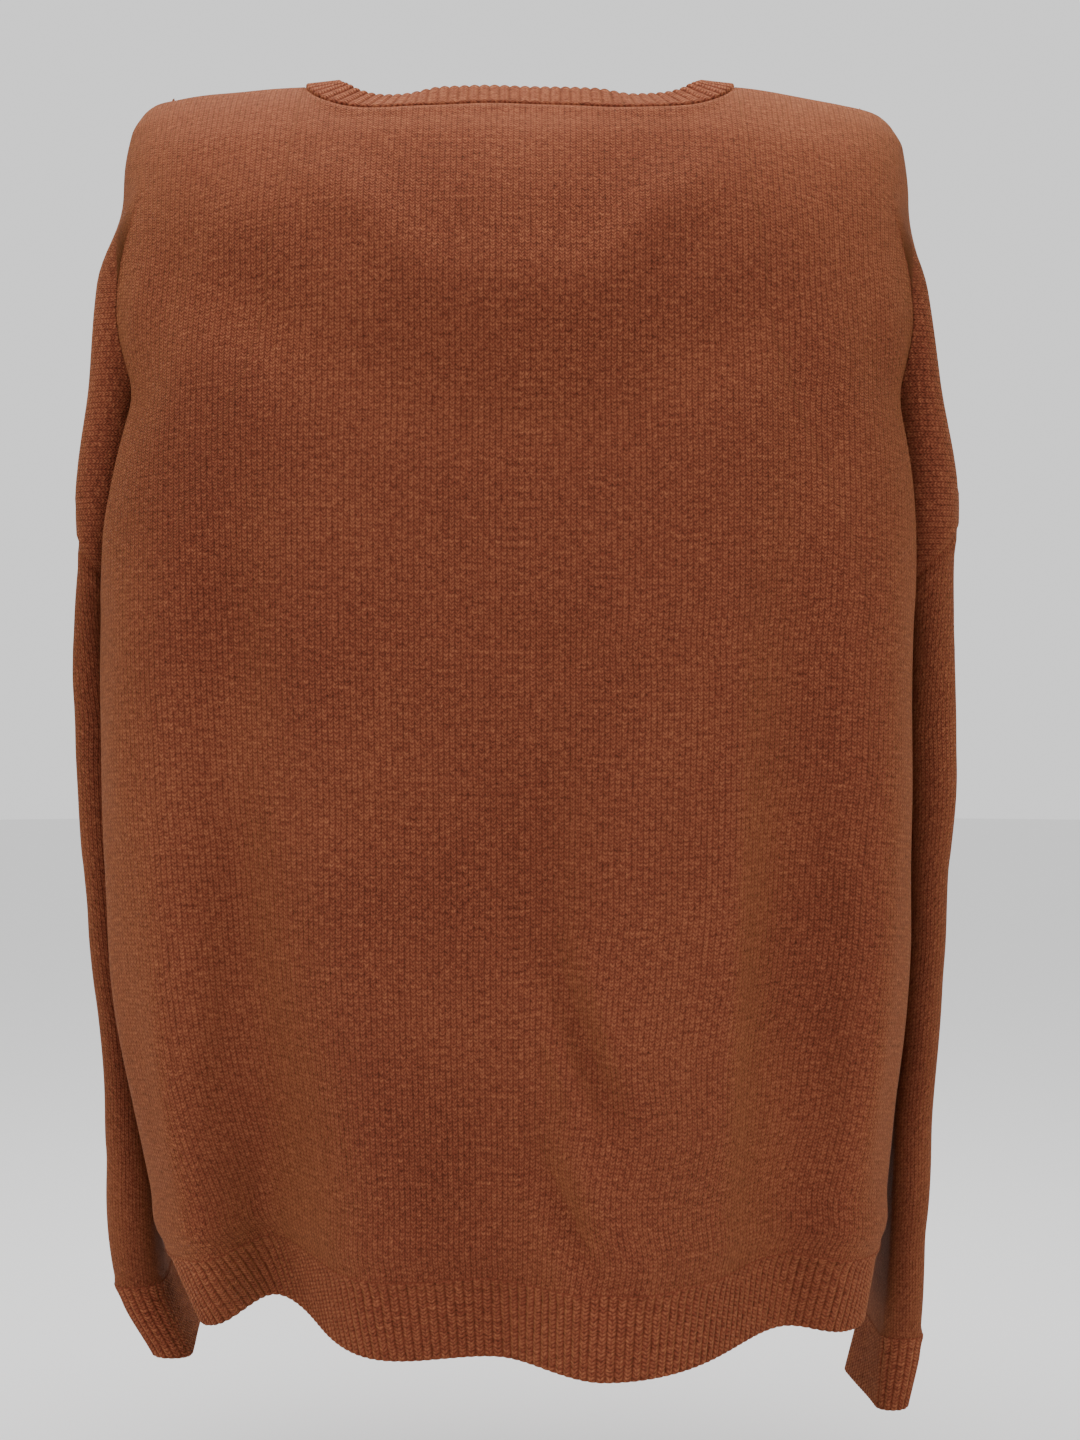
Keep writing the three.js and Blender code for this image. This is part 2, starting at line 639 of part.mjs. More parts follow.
// Places along a chain at equal distances, two to each rib, with both ends.
function ribPlaces(chain) {
  const travelled = [0];
  chain.slice(1).forEach((point, i) => travelled.push(travelled[i] + point.distanceTo(chain[i])));
  const whole = travelled[travelled.length - 1];
  const steps = 2 * Math.round(whole / RIB_PITCH);
  return Array.from({ length: steps + 1 }, (_, n) => {
    const wanted = (whole * n) / steps;
    const i = Math.max(1, travelled.findIndex((reach) => reach >= wanted - 1e-6));
    return i - 1 + (wanted - travelled[i - 1]) / (travelled[i] - travelled[i - 1]);
  });
}

// A band between two edges. Each edge has a chain of outer points and one of inner points. The rib
// stitches are every second column of the outside, raised away from the plain inside.
function ribRows(edges) {
  const places = ribPlaces(edges[0].outer);
  const inner = edges.map((edge) => places.map((place) => onChain(edge.inner, place)));
  const outer = edges.map((edge, i) =>
    places.map((place, n) => {
      const point = onChain(edge.outer, place);
      const away = point.clone().sub(inner[i][n]).normalize();
      return n % 2 ? point.addScaledVector(away, RIB_HEIGHT) : point;
    }),
  );
  return { outer, inner };
}

const edgeOf = (points, normals, thickness) => ({
  outer: points,
  inner: points.map((point, j) => point.clone().addScaledVector(normals[j], -thickness)),
});

// The hem rib of a panel, from side seam to side seam.
function hemGeometry(face) {
  const { rows, normals } = panels[face];
  const ends = [MIDDLE - BODY_COLUMNS, MIDDLE + BODY_COLUMNS + 1];
  const seam = rows[rows.length - 1].slice(...ends);
  const drop = (face < 0 ? BACK_SEAM_DROP : FRONT_SEAM_DROP) + HEM_WIDTH;
  const bottom = [...bodyRow(face, -1, drop).reverse(), ...bodyRow(face, 1, drop).slice(1)];
  const across = normals[rows.length - 1].slice(...ends);
  const edges = [edgeOf(seam, across, WALL), edgeOf(bottom, across, BAND_WALL)];
  const { outer, inner } = ribRows(edges);
  const facing = face > 0 ? (grid) => grid.map((row) => [...row].reverse()) : (grid) => grid;
  return wall(facing(pullEdges(outer, true)), facing(pullEdges(inner, true)), true);
}

// A closed band: the chains of its edges end on their first point, which is then dropped.
function closedBand(edges, side) {
  const closed = edges.map(({ outer, inner }) => ({
    outer: [...outer, outer[0]],
    inner: [...inner, inner[0]],
  }));
  const { outer, inner } = ribRows(closed);
  const open = (rows) => rows.map((row) => row.slice(0, -1));
  return tubeGeometry(open(outer), open(inner), side);
}

function cuffGeometry(side, { rows, normals }) {
  const last = rows.length - 1;
  const bottom = RING.map((at) => sleevePoint(side, CUFF_TOP[sideName(side)] - CUFF_WIDTH, at));
  const edges = [edgeOf(rows[last], normals[last], WALL), edgeOf(bottom, normals[last], BAND_WALL)];
  return closedBand(edges, side);
}

// How far the neckband's top edge stands above its seam at the back. share: of the way from the centre
// to the high point of the shoulder.
const BAND_RISE = [
  { share: 0, rise: 12.5 },
  { share: 0.35, rise: 12.8 },
  { share: 0.55, rise: 10.4 },
  { share: 0.7, rise: 10 },
  { share: 0.88, rise: 9 },
  { share: 1, rise: 2 },
];
const bandRise = column(BAND_RISE, "share", "rise");

// A point of the body's outside by how far it lies from the centre line.
function surfaceAt(face, x, drop) {
  const side = x < 0 ? -1 : 1;
  return bodyPoint(face, side, angleAt(side, drop, Math.abs(x)), drop);
}

// The free edge of the neckband opposite each point of the neck seam.
function bandTop(face, side, share, seam) {
  if (face > 0) {
    const x = share * (NECK_HALF - NECKBAND_WIDTH);
    return surfaceAt(1, side * x, neckDrop(1, share) * (1 - NECKBAND_MITRE / FRONT_NECK_DROP));
  }
  const rise = bandRise(share);
  const reach = Math.sqrt(NECKBAND_WIDTH ** 2 - rise ** 2);
  const turn = (Math.PI / 2) * share ** 3;
  const top = new THREE.Vector3(-side * reach * Math.sin(turn), reach * Math.cos(turn), rise);
  return top.add(seam);
}

// The neck seam and the neckband's free edge, from the high point of the left shoulder along the back to
// the right one, and back along the front.
function neckEdges() {
  const places = [];
  for (let j = -NECK_COLUMNS; j <= NECK_COLUMNS; j += 1) places.push({ face: -1, j });
  for (let j = NECK_COLUMNS - 1; j > -NECK_COLUMNS; j -= 1) places.push({ face: 1, j });
  const seam = places.map(({ face, j }) => panels[face].rows[0][MIDDLE + j]);
  const below = places.map(({ face, j }) => panels[face].rows[1][MIDDLE + j]);
  const top = places.map(({ face, j }, n) => {
    return bandTop(face, Math.sign(j) || 1, Math.abs(j) / NECK_COLUMNS, seam[n]);
  });
  return { places, rows: [top, seam, below] };
}

const knit = new THREE.MeshStandardMaterial({
  name: "rust_jersey_knit",
  color: new THREE.Color(0.49, 0.25, 0.165),
  roughness: 0.95,
  metalness: 0,
});

const garment = new THREE.Group();
garment.name = "pullover";

function add(name, geometry) {
  const mesh = new THREE.Mesh(geometry, knit);
  mesh.name = name;
  garment.add(mesh);
}

const panels = makePanels();
const neck = neckEdges();
const neckNormals = tubeNormals(neck.rows, -1);
neck.places.forEach(({ face, j }, n) => panels[face].normals[0][MIDDLE + j].copy(neckNormals[1][n]));
panels[1].normals[0][MIDDLE - NECK_COLUMNS].copy(neckNormals[1][0]);
panels[1].normals[0][MIDDLE + NECK_COLUMNS].copy(neckNormals[1][2 * NECK_COLUMNS]);
const neckSeam = edgeOf(neck.rows[1], neckNormals[1], WALL);
const neckTop = edgeOf(neck.rows[0], neckNormals[0], BAND_WALL);

add("back", panelGeometry(panels[-1], -1));
add("front", panelGeometry(panels[1], 1));
for (const side of [-1, 1]) {
  const sleeve = sleeveGrid(side);
  const inner = innerOf(sleeve.rows, sleeve.normals, WALL);
  add(`sleeve_${sideName(side)}`, tubeGeometry(sleeve.rows, inner, side));
  add(`cuff_${sideName(side)}`, cuffGeometry(side, sleeve));
}
add("hem_back", hemGeometry(-1));
add("hem_front", hemGeometry(1));
add("neckband", closedBand([neckTop, neckSeam], -1));

export default garment;
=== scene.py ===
"""A loose V-neck pullover in jersey knit, with a ribbed neckband, hem and cuffs.

It hangs filled out, as on a wearer whose arms are not in the sleeves. Each piece of jersey is a net of
points worked out from level sections of the body and flattened loops round the arms, then creased and
given its thickness. The ribs stand up on the bands, and linking stitches follow the seams.
"""
import functools
import math

import bpy
import numpy as np
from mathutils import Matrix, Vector
from bpy.props import FloatProperty, FloatVectorProperty, PointerProperty


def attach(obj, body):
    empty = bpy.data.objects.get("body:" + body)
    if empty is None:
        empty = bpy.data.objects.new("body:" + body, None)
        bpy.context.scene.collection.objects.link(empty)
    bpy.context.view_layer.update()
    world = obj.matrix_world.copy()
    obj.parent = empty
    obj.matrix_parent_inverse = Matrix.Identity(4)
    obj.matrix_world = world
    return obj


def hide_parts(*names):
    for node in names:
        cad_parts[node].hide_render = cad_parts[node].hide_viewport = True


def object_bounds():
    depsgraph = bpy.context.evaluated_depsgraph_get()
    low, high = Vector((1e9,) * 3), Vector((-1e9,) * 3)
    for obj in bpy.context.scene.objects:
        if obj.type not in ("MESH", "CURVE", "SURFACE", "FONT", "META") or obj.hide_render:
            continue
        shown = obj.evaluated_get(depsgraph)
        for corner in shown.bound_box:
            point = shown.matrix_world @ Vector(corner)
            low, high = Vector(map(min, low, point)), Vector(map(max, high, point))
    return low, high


bl_info = {
    "name": "Jersey Knit Pullover",
    "version": (1, 0, 0),
    "blender": (4, 5, 0),
    "location": "View3D > Sidebar > Pullover",
    "description": "Builds a ribbed V-neck pullover in jersey knit and a plain studio round it",
    "category": "Object",
}

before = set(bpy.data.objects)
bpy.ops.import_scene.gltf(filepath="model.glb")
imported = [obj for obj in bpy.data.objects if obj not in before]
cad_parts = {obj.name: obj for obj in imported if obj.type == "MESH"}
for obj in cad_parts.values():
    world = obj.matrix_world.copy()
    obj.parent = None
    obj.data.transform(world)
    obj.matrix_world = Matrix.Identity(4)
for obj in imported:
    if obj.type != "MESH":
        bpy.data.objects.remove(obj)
CAD_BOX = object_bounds()
MM = 0.001


# ---- Sizes, in millimetres ----


def table(names, *rows):
    """Rows of numbers as one array for each named column."""
    return dict(zip(names.split(), np.array(rows, float).T))


NECK_HALF = 112
BACK_NECK_DROP = 25
FRONT_NECK_DROP = 196
NECKBAND_WIDTH = 18
NECKBAND_MITRE = 36
SEAM_DROP = {-1: 605, 1: 615}
HEM_WIDTH = 40
CUFF_WIDTH = 39
CUFF_TOP = {-1: -637, 1: -665}
SHOULDER_END_DROP = 15
ARMHOLE_TOP = -219
UNDERARM_DROP = 292
NECK_RISE = 4.5  # how far the back neck seam rises again in its middle
BODY_COLUMNS = 14
NECK_COLUMNS = 8
ARM_COLUMNS = 7
SHOULDER_SLOPE = {-1: 0.07, 1: 0.15}
FINE = 6  # points of the net to each wide column
SLEEVE_FINE = 92  # rows of a sleeve
BAND_ROWS = 10  # rows of the ground of a hem or a cuff
NECKBAND_ROWS = 7  # rows of the ground of the neckband
RIB_STEPS = 8  # columns of points to each rib
SAMPLES = 60  # steps in which a section is measured
SLEEVE_ROUND = 336  # width of all the wales round a sleeve
FOLD_TURNS = 120  # drop at which the fold between body and arm starts round to the side
EVEN_DROP = 120  # drop from which a section's columns are spread evenly
PARTING_MOVES = 30  # height above the underarm from which the line between the panels moves forward
ON_SEAM = 0.02  # points this close to the line between the panels are on it
SHOULDER_ROUND, ARM_HANGS = 48, 112  # drops at which the arm leaves the round shoulder and hangs flat
BLOUSE, BLOUSE_UP, BLOUSE_REACH = 3, 13, 12  # how the jersey blouses over the hem, and where
SHOULDER_PUFF, NECK_PUFF, ARMHOLE_PUFF, SLEEVE_PUFF = 0.3, 0.5, 0.9, 0.6  # how proud the cloth is by a seam
NECK_DEEP = 2.4  # depth of the neck's groove against a plain seam's
NECK_SCALE = 0.6  # scales distances from the neck seam, which widens its groove
SIDE_NAMES = {-1: "left", 1: "right"}

# The body panels: name, face, cut in metres, and area where the cut is not a full rectangle.
PANEL_CUTS = (("back", -1, (0.68, 0.61), 0.38), ("front", 1, (0.68, 0.62), 0.35))

# Level sections of the body: half widths to the left and right, depths behind and before.
BODY = table(
    "drop left right back front square",
    (0, 184, 181, 0, 0, 2.6),
    (4, 194, 191, 25, 24, 2.6),
    (10, 200, 197, 40, 38, 2.7),
    (22, 205, 202, 59, 54, 2.9),
    (45, 207, 203, 82, 74, 3.1),
    (90, 205, 200, 103, 95, 3.6),
    (160, 205, 200, 114, 110, 4.3),
    (230, 208, 199.5, 117, 115, 4.7),
    (292, 211, 199.5, 117, 114, 4.9),
    (350, 211.5, 200, 116, 113, 4.7),
    (440, 210, 201, 115, 114, 4),
    (530, 200, 195, 115, 116, 3.3),
    (590, 187, 188, 115, 116, 2.9),
    (645, 168, 180, 113, 114, 2.5),
)

# Level loops of each arm: reach of the outer and inner sides, the ends behind and before, and the turn.
ARMS = {
    -1: table(
        "z outer inner back front turn",
        (-28, 209, 196, -36, 36, 5),
        (-60, 220, 200, -50, 48, 10),
        (-100, 232, 203, -60, 61, 11),
        (-160, 240, 204.5, -65, 79, 10.5),
        (-219, 243.3, 209.4, -62, 91, 8),
        (-250, 238.9, 216.9, -56, 98, 6),
        (-292, 238.1, 218.6, -42, 101, 4),
        (-350, 237, 217.8, -32, 104, 4),
        (-440, 233.9, 215.8, -22, 105, 4),
        (-545, 225.5, 206.3, -6, 103, 4),
        (-605, 222.5, 203, 5, 100, 3),
        (-637, 218.5, 196.5, 10, 96, 2),
        (-676, 203, 180, 12, 96, 5),
    ),
    1: table(
        "z outer inner back front turn",
        (-28, 206, 192, -36, 36, 5),
        (-60, 214, 197, -50, 48, 8),
        (-100, 222.5, 199, -60, 61, 10),
        (-160, 233, 200, -65, 79, 9.5),
        (-219, 242, 203, -62, 91, 8.5),
        (-250, 240, 205, -56, 98, 8),
        (-292, 236.5, 207, -45, 101, 6),
        (-350, 237.5, 209, -34, 104, 6),
        (-440, 232.5, 209, -24, 105, 5),
        (-545, 223.5, 202, -8, 103, 3),
        (-620, 217.5, 197, 4, 100, 0),
        (-665, 214, 193, 10, 96, -2),
        (-704, 201, 187, 12, 96, -6),
    ),
}

# Where the fold between body and arm lies on the section, in degrees from the centre line.
ARM_FOLD = table("drop angle", (0, 90), (4, 68), (15, 62), (45, 60), (120, 64))

# How far the back of the neckband rises, from the middle out to the shoulder.
BAND_RISE = table("share rise", (0, 12.5), (0.35, 12.8), (0.55, 10.4), (0.7, 10), (0.88, 9), (1, 2))

# Drops of the net's wide rows above the underarm.
UPPER_PLACES = (0, 3.5, 10, 22, 40, 64, 94, 128, 166, 206, 249, 292)

# Large folds: where each starts and is fullest, half widths to each side, how far it stands out.
FOLDS = table(
    "face x top foot_x foot left right out lift",
    (-1, 26, -360, 41, -650, 30, 62, 22, -3),
    (-1, -128, -380, -124, -650, 24, 30, -50, 16),
    (-1, 138, -210, 130, -650, 34, 26, -26, 7),
    (-1, -12, -480, -12, -650, 34, 22, -5, 3),
    (-1, 0, -90, 0, -185, 90, 90, -4, 0),
    (1, 62, -330, 78, -660, 36, 30, -20, 6),
    (1, 4, -380, 12, -660, 44, 34, 14, -3),
    (1, -70, -300, -62, -660, 30, 34, -15, 5),
    (1, -118, -420, -112, -660, 26, 22, 9, -2),
)

# Soft creases on the body: two ends, half width, and how far the cloth stands out, or in where negative.
BODY_CREASES = table(
    "x0 y0 z0 x1 y1 z1 width out",
    (-160, -92, -118, -100, -106, -146, 22, -6.5),
    (-100, -106, -146, -33, -112, -176, 22, -6.2),
    (-33, -112, -176, 42, -112, -173, 22, -6.4),
    (42, -112, -173, 135, -100, -132, 22, -6.6),
    (-44, -106, -120, 36, -106, -124, 24, 5),
    (-90, -94, -68, -36, -108, -130, 15, 3.8),
    (28, -108, -132, 84, -94, -70, 15, 3.6),
    (-140, -108, -220, -142, -106, -440, 21, -9),
    (-138, -110, -400, -134, -104, -604, 19, -14),
    (-174, -90, -400, -168, -86, -590, 11, 4),
    (-68, -116, -430, -60, -114, -612, 30, 6),
    (-96, -114, -300, -84, -114, -470, 17, 3.6),
    (8, -117, -340, 14, -117, -468, 18, -7.4),
    (12, -118, -440, 47, -124, -530, 7, -7.5),
    (30, -118, -440, 62, -124, -526, 8, 5),
    (0, -118, -448, 34, -122, -532, 7, 4),
    (2, -120, -536, 43, -130, -608, 7, -7.5),
    (22, -120, -530, 60, -130, -600, 8, 4.6),
    (-6, -117, -288, 28, -117, -308, 14, -4),
    (16, -117, -336, 70, -116, -276, 12, 3),
    (-160, -100, -372, -34, -116, -382, 9, -2.2),
    (58, -116, -300, 60, -118, -590, 26, 4.5),
    (102, -112, -262, 104, -112, -604, 12, 6.5),
    (136, -106, -160, 134, -104, -420, 17, -6.5),
    (156, -100, -180, 154, -96, -430, 17, -4.5),
    (132, -108, -380, 128, -104, -612, 16, -8),
    (153, -98, -390, 148, -94, -612, 16, -6.5),
    (176, -84, -180, 174, -80, -560, 10, 3.6),
    (-190, -78, -116, -199, -68, -266, 14, 4.4),
    (184, -78, -116, 190, -68, -266, 14, 4.2),
    (-201, -60, -270, -198, -58, -540, 12, 3),
    (-128, 104, -150, -140, 100, -420, 20, -7),
    (-126, 104, -380, -120, 102, -604, 16, -8),
    (124, 104, -130, 138, 100, -380, 19, -6.5),
    (132, 102, -350, 124, 100, -600, 20, -8.5),
    (-84, 110, -240, -94, 112, -580, 18, 6),
    (86, 110, -280, 100, 112, -596, 16, 5.6),
    (30, 112, -270, 44, 114, -480, 14, -6),
    (10, 113, -430, -22, 118, -540, 8, -6),
    (-34, 112, -236, -26, 114, -400, 17, -5),
    (-64, 90, -112, -24, 110, -204, 13, -4.4),
    (60, 90, -106, 26, 110, -198, 14, -4.2),
    (-150, 96, -122, -62, 108, -176, 15, -4),
    (62, 106, -230, 150, 96, -168, 16, -4.2),
    (-30, 114, -470, 6, 118, -596, 12, -5),
    (-176, 60, -300, -180, 60, -540, 14, -4),
    (176, 60, -310, 178, 58, -560, 14, -4),
    (-208, -20, -340, -204, -16, -520, 12, -2.5),
    (196, -20, -330, 194, -12, -540, 12, -2.5),
)

# The same on the arms.
ARM_CREASES = table(
    "x0 y0 z0 x1 y1 z1 width out",
    (-236, -30, -330, -238, 60, -372, 13, -2.6),
    (-240, 70, -300, -238, 10, -344, 12, -2),
    (-234, -10, -430, -236, 80, -462, 14, -2.6),
    (-232, 20, -520, -232, 95, -548, 12, -2),
    (-228, 0, -566, -228, 70, -604, 10, -2.2),
    (-226, 88, -590, -224, 20, -622, 9, -2),
    (-228, -36, -300, -228, -22, -400, 8, 2),
    (-219, -34, -262, -216, -18, -470, 11, 2.6),
    (-206, 14, -560, -198, 34, -640, 24, 6),
    (240, -30, -350, 240, 60, -330, 13, -2.6),
    (240, 74, -318, 238, 0, -390, 13, -2.2),
    (236, -14, -470, 236, 84, -440, 14, -2.6),
    (232, 10, -548, 232, 98, -520, 12, -2.2),
    (228, 6, -612, 228, 84, -584, 11, -2.4),
    (226, 90, -640, 226, 16, -656, 9, -2),
    (222, -36, -300, 224, -22, -400, 8, 2),
    (224, 100, -300, 222, 104, -460, 8, -2),
    (-226, 100, -320, -224, 104, -470, 8, -2),
)


# ---- Small helpers ----


def mix(a, b, t):
    """From a at 0 to b at 1."""
    return a + (b - a) * t


def clamp01(t):
    return np.clip(t, 0.0, 1.0)


def ease(t):
    """A soft step from 0 to 1."""
    t = clamp01(t)
    return t * t * (3 - 2 * t)


def unit(vectors):
    return vectors / np.maximum(np.linalg.norm(vectors, axis=-1, keepdims=True), 1e-9)


def curve(rows, key, name):
    """A smooth curve through one column of a table that never overshoots its rows."""
    at, value = rows[key], rows[name]
    if at[0] > at[-1]:
        at, value = at[::-1], value[::-1]
    chord = np.diff(value) / np.diff(at)
    before, after = chord[:-1], chord[1:]
    same = before * after > 0
    inner = np.where(same, 2 * before * after / np.where(same, before + after, 1), 0)
    slope = np.concatenate([chord[:1], inner, chord[-1:]])

    def read(place):
        i = np.clip(np.searchsorted(at, place) - 1, 0, len(chord) - 1)
        span = at[i + 1] - at[i]
        t = clamp01((place - at[i]) / span)
        pull = t * (1 - t) * span
        return mix(value[i], value[i + 1], ease(t)) + pull * ((1 - t) * slope[i] - t * slope[i + 1])

    return read


section = {name: curve(BODY, "drop", name) for name in BODY if name != "drop"}
arm_reader = {
    side: {name: curve(rows, "z", name) for name in rows if name != "z"} for side, rows in ARMS.items()
}
upper_fold_angle = curve(ARM_FOLD, "drop", "angle")
band_rise = curve(BAND_RISE, "share", "rise")


def fold_turned(drop):
    """How far the fold between body and arm has come round to the side."""
    return ease((drop - FOLD_TURNS) / (UNDERARM_DROP - FOLD_TURNS))


def fold_angle(drop):
    """Where the arm leaves the body, in degrees."""
    toward_back = np.cos(np.radians(upper_fold_angle(np.minimum(drop, FOLD_TURNS))))
    return np.degrees(np.arccos(toward_back * (1 - fold_turned(drop)) ** (section["square"](drop) / 2)))


def half_width(side, drop):
    """Half width of the body at a drop, on one side."""
    return section["left" if side < 0 else "right"](drop)


def depth(face, drop):
    """Depth of the body at a drop, behind or before."""
    return section["back" if face < 0 else "front"](drop)


# ---- The body's surface ----


def shoulder_line(side, x, drop):
    """Height of the shoulder line over a place, softened where it leaves the neck."""
    out = 6 * np.logaddexp(0, (np.abs(x) - NECK_HALF) / 6)
    return -SHOULDER_SLOPE[side] * out * (1 - ease(drop / 260))


def body_points(face, side, angle, drop):
    """Points of the outside. face: -1 back, 1 front. side: -1 left, 1 right."""
    power = 2 / section["square"](drop)
    half = half_width(side, drop)
    forward = np.clip(np.cos(angle), 0, 1) ** power
    x = side * half * np.sin(angle) ** power
    z = shoulder_line(side, x, drop) - drop
    blouse = BLOUSE * np.exp(-(((z + SEAM_DROP[face] - BLOUSE_UP) / BLOUSE_REACH) ** 2))
    swell = 1 + blouse / half
    points = np.stack(np.broadcast_arrays(x * swell, face * depth(face, drop) * forward * swell, z), axis=-1)
    near_side = clamp01(2.2 * forward)
    for i in np.flatnonzero(FOLDS["face"] == face):
        fold = {name: FOLDS[name][i] for name in FOLDS}
        along = (fold["top"] - points[..., 2]) / (fold["top"] - fold["foot"])
        across = points[..., 0] - mix(fold["x"], fold["foot_x"], clamp01(along))
        width = np.where(across < 0, fold["left"], fold["right"])
        shape = ease(along) ** 1.3 * near_side * np.exp(-((across / width) ** 2))
        points[..., 1] += face * fold["out"] * shape
        points[..., 2] += fold["lift"] * shape * clamp01(along) ** 2
    return points


def angle_at(side, drop, out):
    """The angle on a section that lies a distance out from the centre line."""
    ratio = clamp01(out / half_width(side, drop))
    return np.arcsin(ratio ** (section["square"](drop) / 2))


def angle_along(face, side, drop, end, share):
    """The angle that lies a share of the way along a section, from the centre line to the end angle."""
    power = (2 / section["square"](drop))[..., None]
    angles = np.broadcast_to(end, drop.shape)[..., None] * np.linspace(0, 1, SAMPLES + 1)
    x = half_width(side, drop)[..., None] * np.sin(angles) ** power
    y = depth(face, drop)[..., None] * np.clip(np.cos(angles), 0, 1) ** power
    pieces = np.hypot(np.diff(x), np.diff(y))
    reach = np.concatenate([np.zeros_like(pieces[..., :1]), np.cumsum(pieces, axis=-1)], axis=-1)
    wanted = share * reach[..., -1]
    i = np.clip((reach < wanted[..., None]).sum(-1) - 1, 0, SAMPLES - 1)
    before = np.take_along_axis(reach, i[..., None], -1)[..., 0]
    after = np.take_along_axis(reach, i[..., None] + 1, -1)[..., 0]
    return end * (i + clamp01((wanted - before) / (after - before))) / SAMPLES


def neck_drop(face, share):
    """How far below the shoulder line the neck seam lies, a share of the way out to the high point."""
    if face < 0:
        rises = NECK_RISE * np.exp(-((share / 0.42) ** 2))
        return BACK_NECK_DROP * np.clip(1 - share**7, 0, 1) ** 0.72 - rises * (share < 1)
    return FRONT_NECK_DROP * np.clip(1 - share, 0, 1) ** 0.94


SHOULDER_HALF = (BODY["left"][0] + BODY["right"][0]) / 2
NECK_FINE = NECK_COLUMNS * FINE
BODY_FINE = BODY_COLUMNS * FINE
ARM_FINE = ARM_COLUMNS * FINE
MIDDLE = BODY_FINE + ARM_FINE
BODY_ONLY = slice(ARM_FINE, MIDDLE + BODY_FINE + 1)  # a panel's columns without its arms
BODY_SHARES = np.interp(
    np.arange(BODY_FINE + 1) / FINE,
    [0, NECK_COLUMNS, BODY_COLUMNS],
    [0, NECK_HALF / SHOULDER_HALF, 1],
)


# ---- The arm's surface ----


class ArmLoops:
    """Flattened loops round the arm at given heights: two flat sides joined by half circles."""

    def __init__(self, side, z):
        arm = {name: read(z) for name, read in arm_reader[side].items()}
        length = (arm["front"] - arm["back"]) / 2
        self.turn = np.radians(arm["turn"])
        spread = np.sin(self.turn)
        self.radius = (arm["outer"] - arm["inner"] - spread * length) / (2 - spread)
        self.flat = length - self.radius
        self.x = arm["inner"] + self.radius
        self.y = (arm["front"] + arm["back"]) / 2
        self.around = 4 * self.flat + 2 * math.pi * self.radius
        self.seam = np.minimum(self.y, self.flat / 2)
        self.underarm = 2 * self.flat + math.pi * self.radius - self.seam
        self.side, self.z = side, z

    def points(self, way):
        """Points of the loops, each a way round from the middle of the outer side."""
        r, flat, bend = self.radius, self.flat, math.pi * self.radius
        rest = way % self.around
        near, far = (rest - flat) / r, (rest - 3 * flat - bend) / r
        legs = [rest < flat, rest < flat + bend, rest < 3 * flat + bend, rest < 3 * flat + 2 * bend]
        across = np.select(legs, [r, r * np.cos(near), -r, -r * np.cos(far)], r)
        along = np.select(
            legs,
            [-rest, -flat - r * np.sin(near), rest - 2 * flat - bend, flat + r * np.sin(far)],
            self.around - rest,
        )
        x = self.x + across * np.cos(self.turn) + along * np.sin(self.turn)
        y = self.y - across * np.sin(self.turn) + along * np.cos(self.turn)
        return np.stack(np.broadcast_arrays(self.side * x, y, self.z), axis=-1)

    def shares(self, face, column):
        """Shares of the way from the underarm to the shoulder seam at which columns lie."""
        flat, bend = self.flat + face * self.seam, math.pi * self.radius
        whole = 2 * flat + bend
        lengths = (flat / 2, flat / 2, bend / 3, bend / 3, bend / 3, flat / 2, flat / 2)
        return sum(length * clamp01(column - k) for k, length in enumerate(lengths)) / whole

    def way(self, face, share):
        """The way round the loops to a share between the underarm and the shoulder seam."""
        start = self.underarm if face < 0 else self.underarm - self.around
        return mix(start, self.seam, share)


CAP_SHARES = (0, 0.07, 0.15, 0.25, 0.38, 0.56, 0.78, 1)  # how the columns spread over the shoulder
ARM_PLACES = np.arange(ARM_FINE + 1) / FINE


def arm_rows(face, side, drop):
    """The panel's arm part, a row for each drop, from the fold to the shoulder seam."""
    drop = drop[:, None]
    start_z = shoulder_line(side, SHOULDER_HALF, 0) - SHOULDER_END_DROP
    fold_z = shoulder_line(side, SHOULDER_HALF, drop) - drop
    seam_z = mix(start_z, ARMHOLE_TOP, (drop / UNDERARM_DROP) ** 0.9)
    turned = fold_turned(drop)
    blend = ease((drop - SHOULDER_ROUND) / (ARM_HANGS - SHOULDER_ROUND))
    even, cap = ARM_PLACES / ARM_COLUMNS, np.interp(ARM_PLACES, range(ARM_COLUMNS + 1), CAP_SHARES)
    middle = ArmLoops(side, (fold_z + seam_z) / 2).shares(face, ARM_PLACES)
    share = mix(mix(even, cap, blend), middle, turned)
    z = mix(fold_z, seam_z, ease(share))
    angle = np.radians(mix(fold_angle(drop), 90, share))
    rounded = body_points(face, side, angle, shoulder_line(side, SHOULDER_HALF, 0) - z)
    loop = ArmLoops(side, z)
    tip = loop.flat + math.pi / 2 * loop.radius
    under = loop.underarm if face < 0 else loop.around - loop.underarm
    hanging = loop.points(mix(-face * mix(tip, under, turned), loop.seam, share))
    return mix(rounded, hanging, blend[..., None])


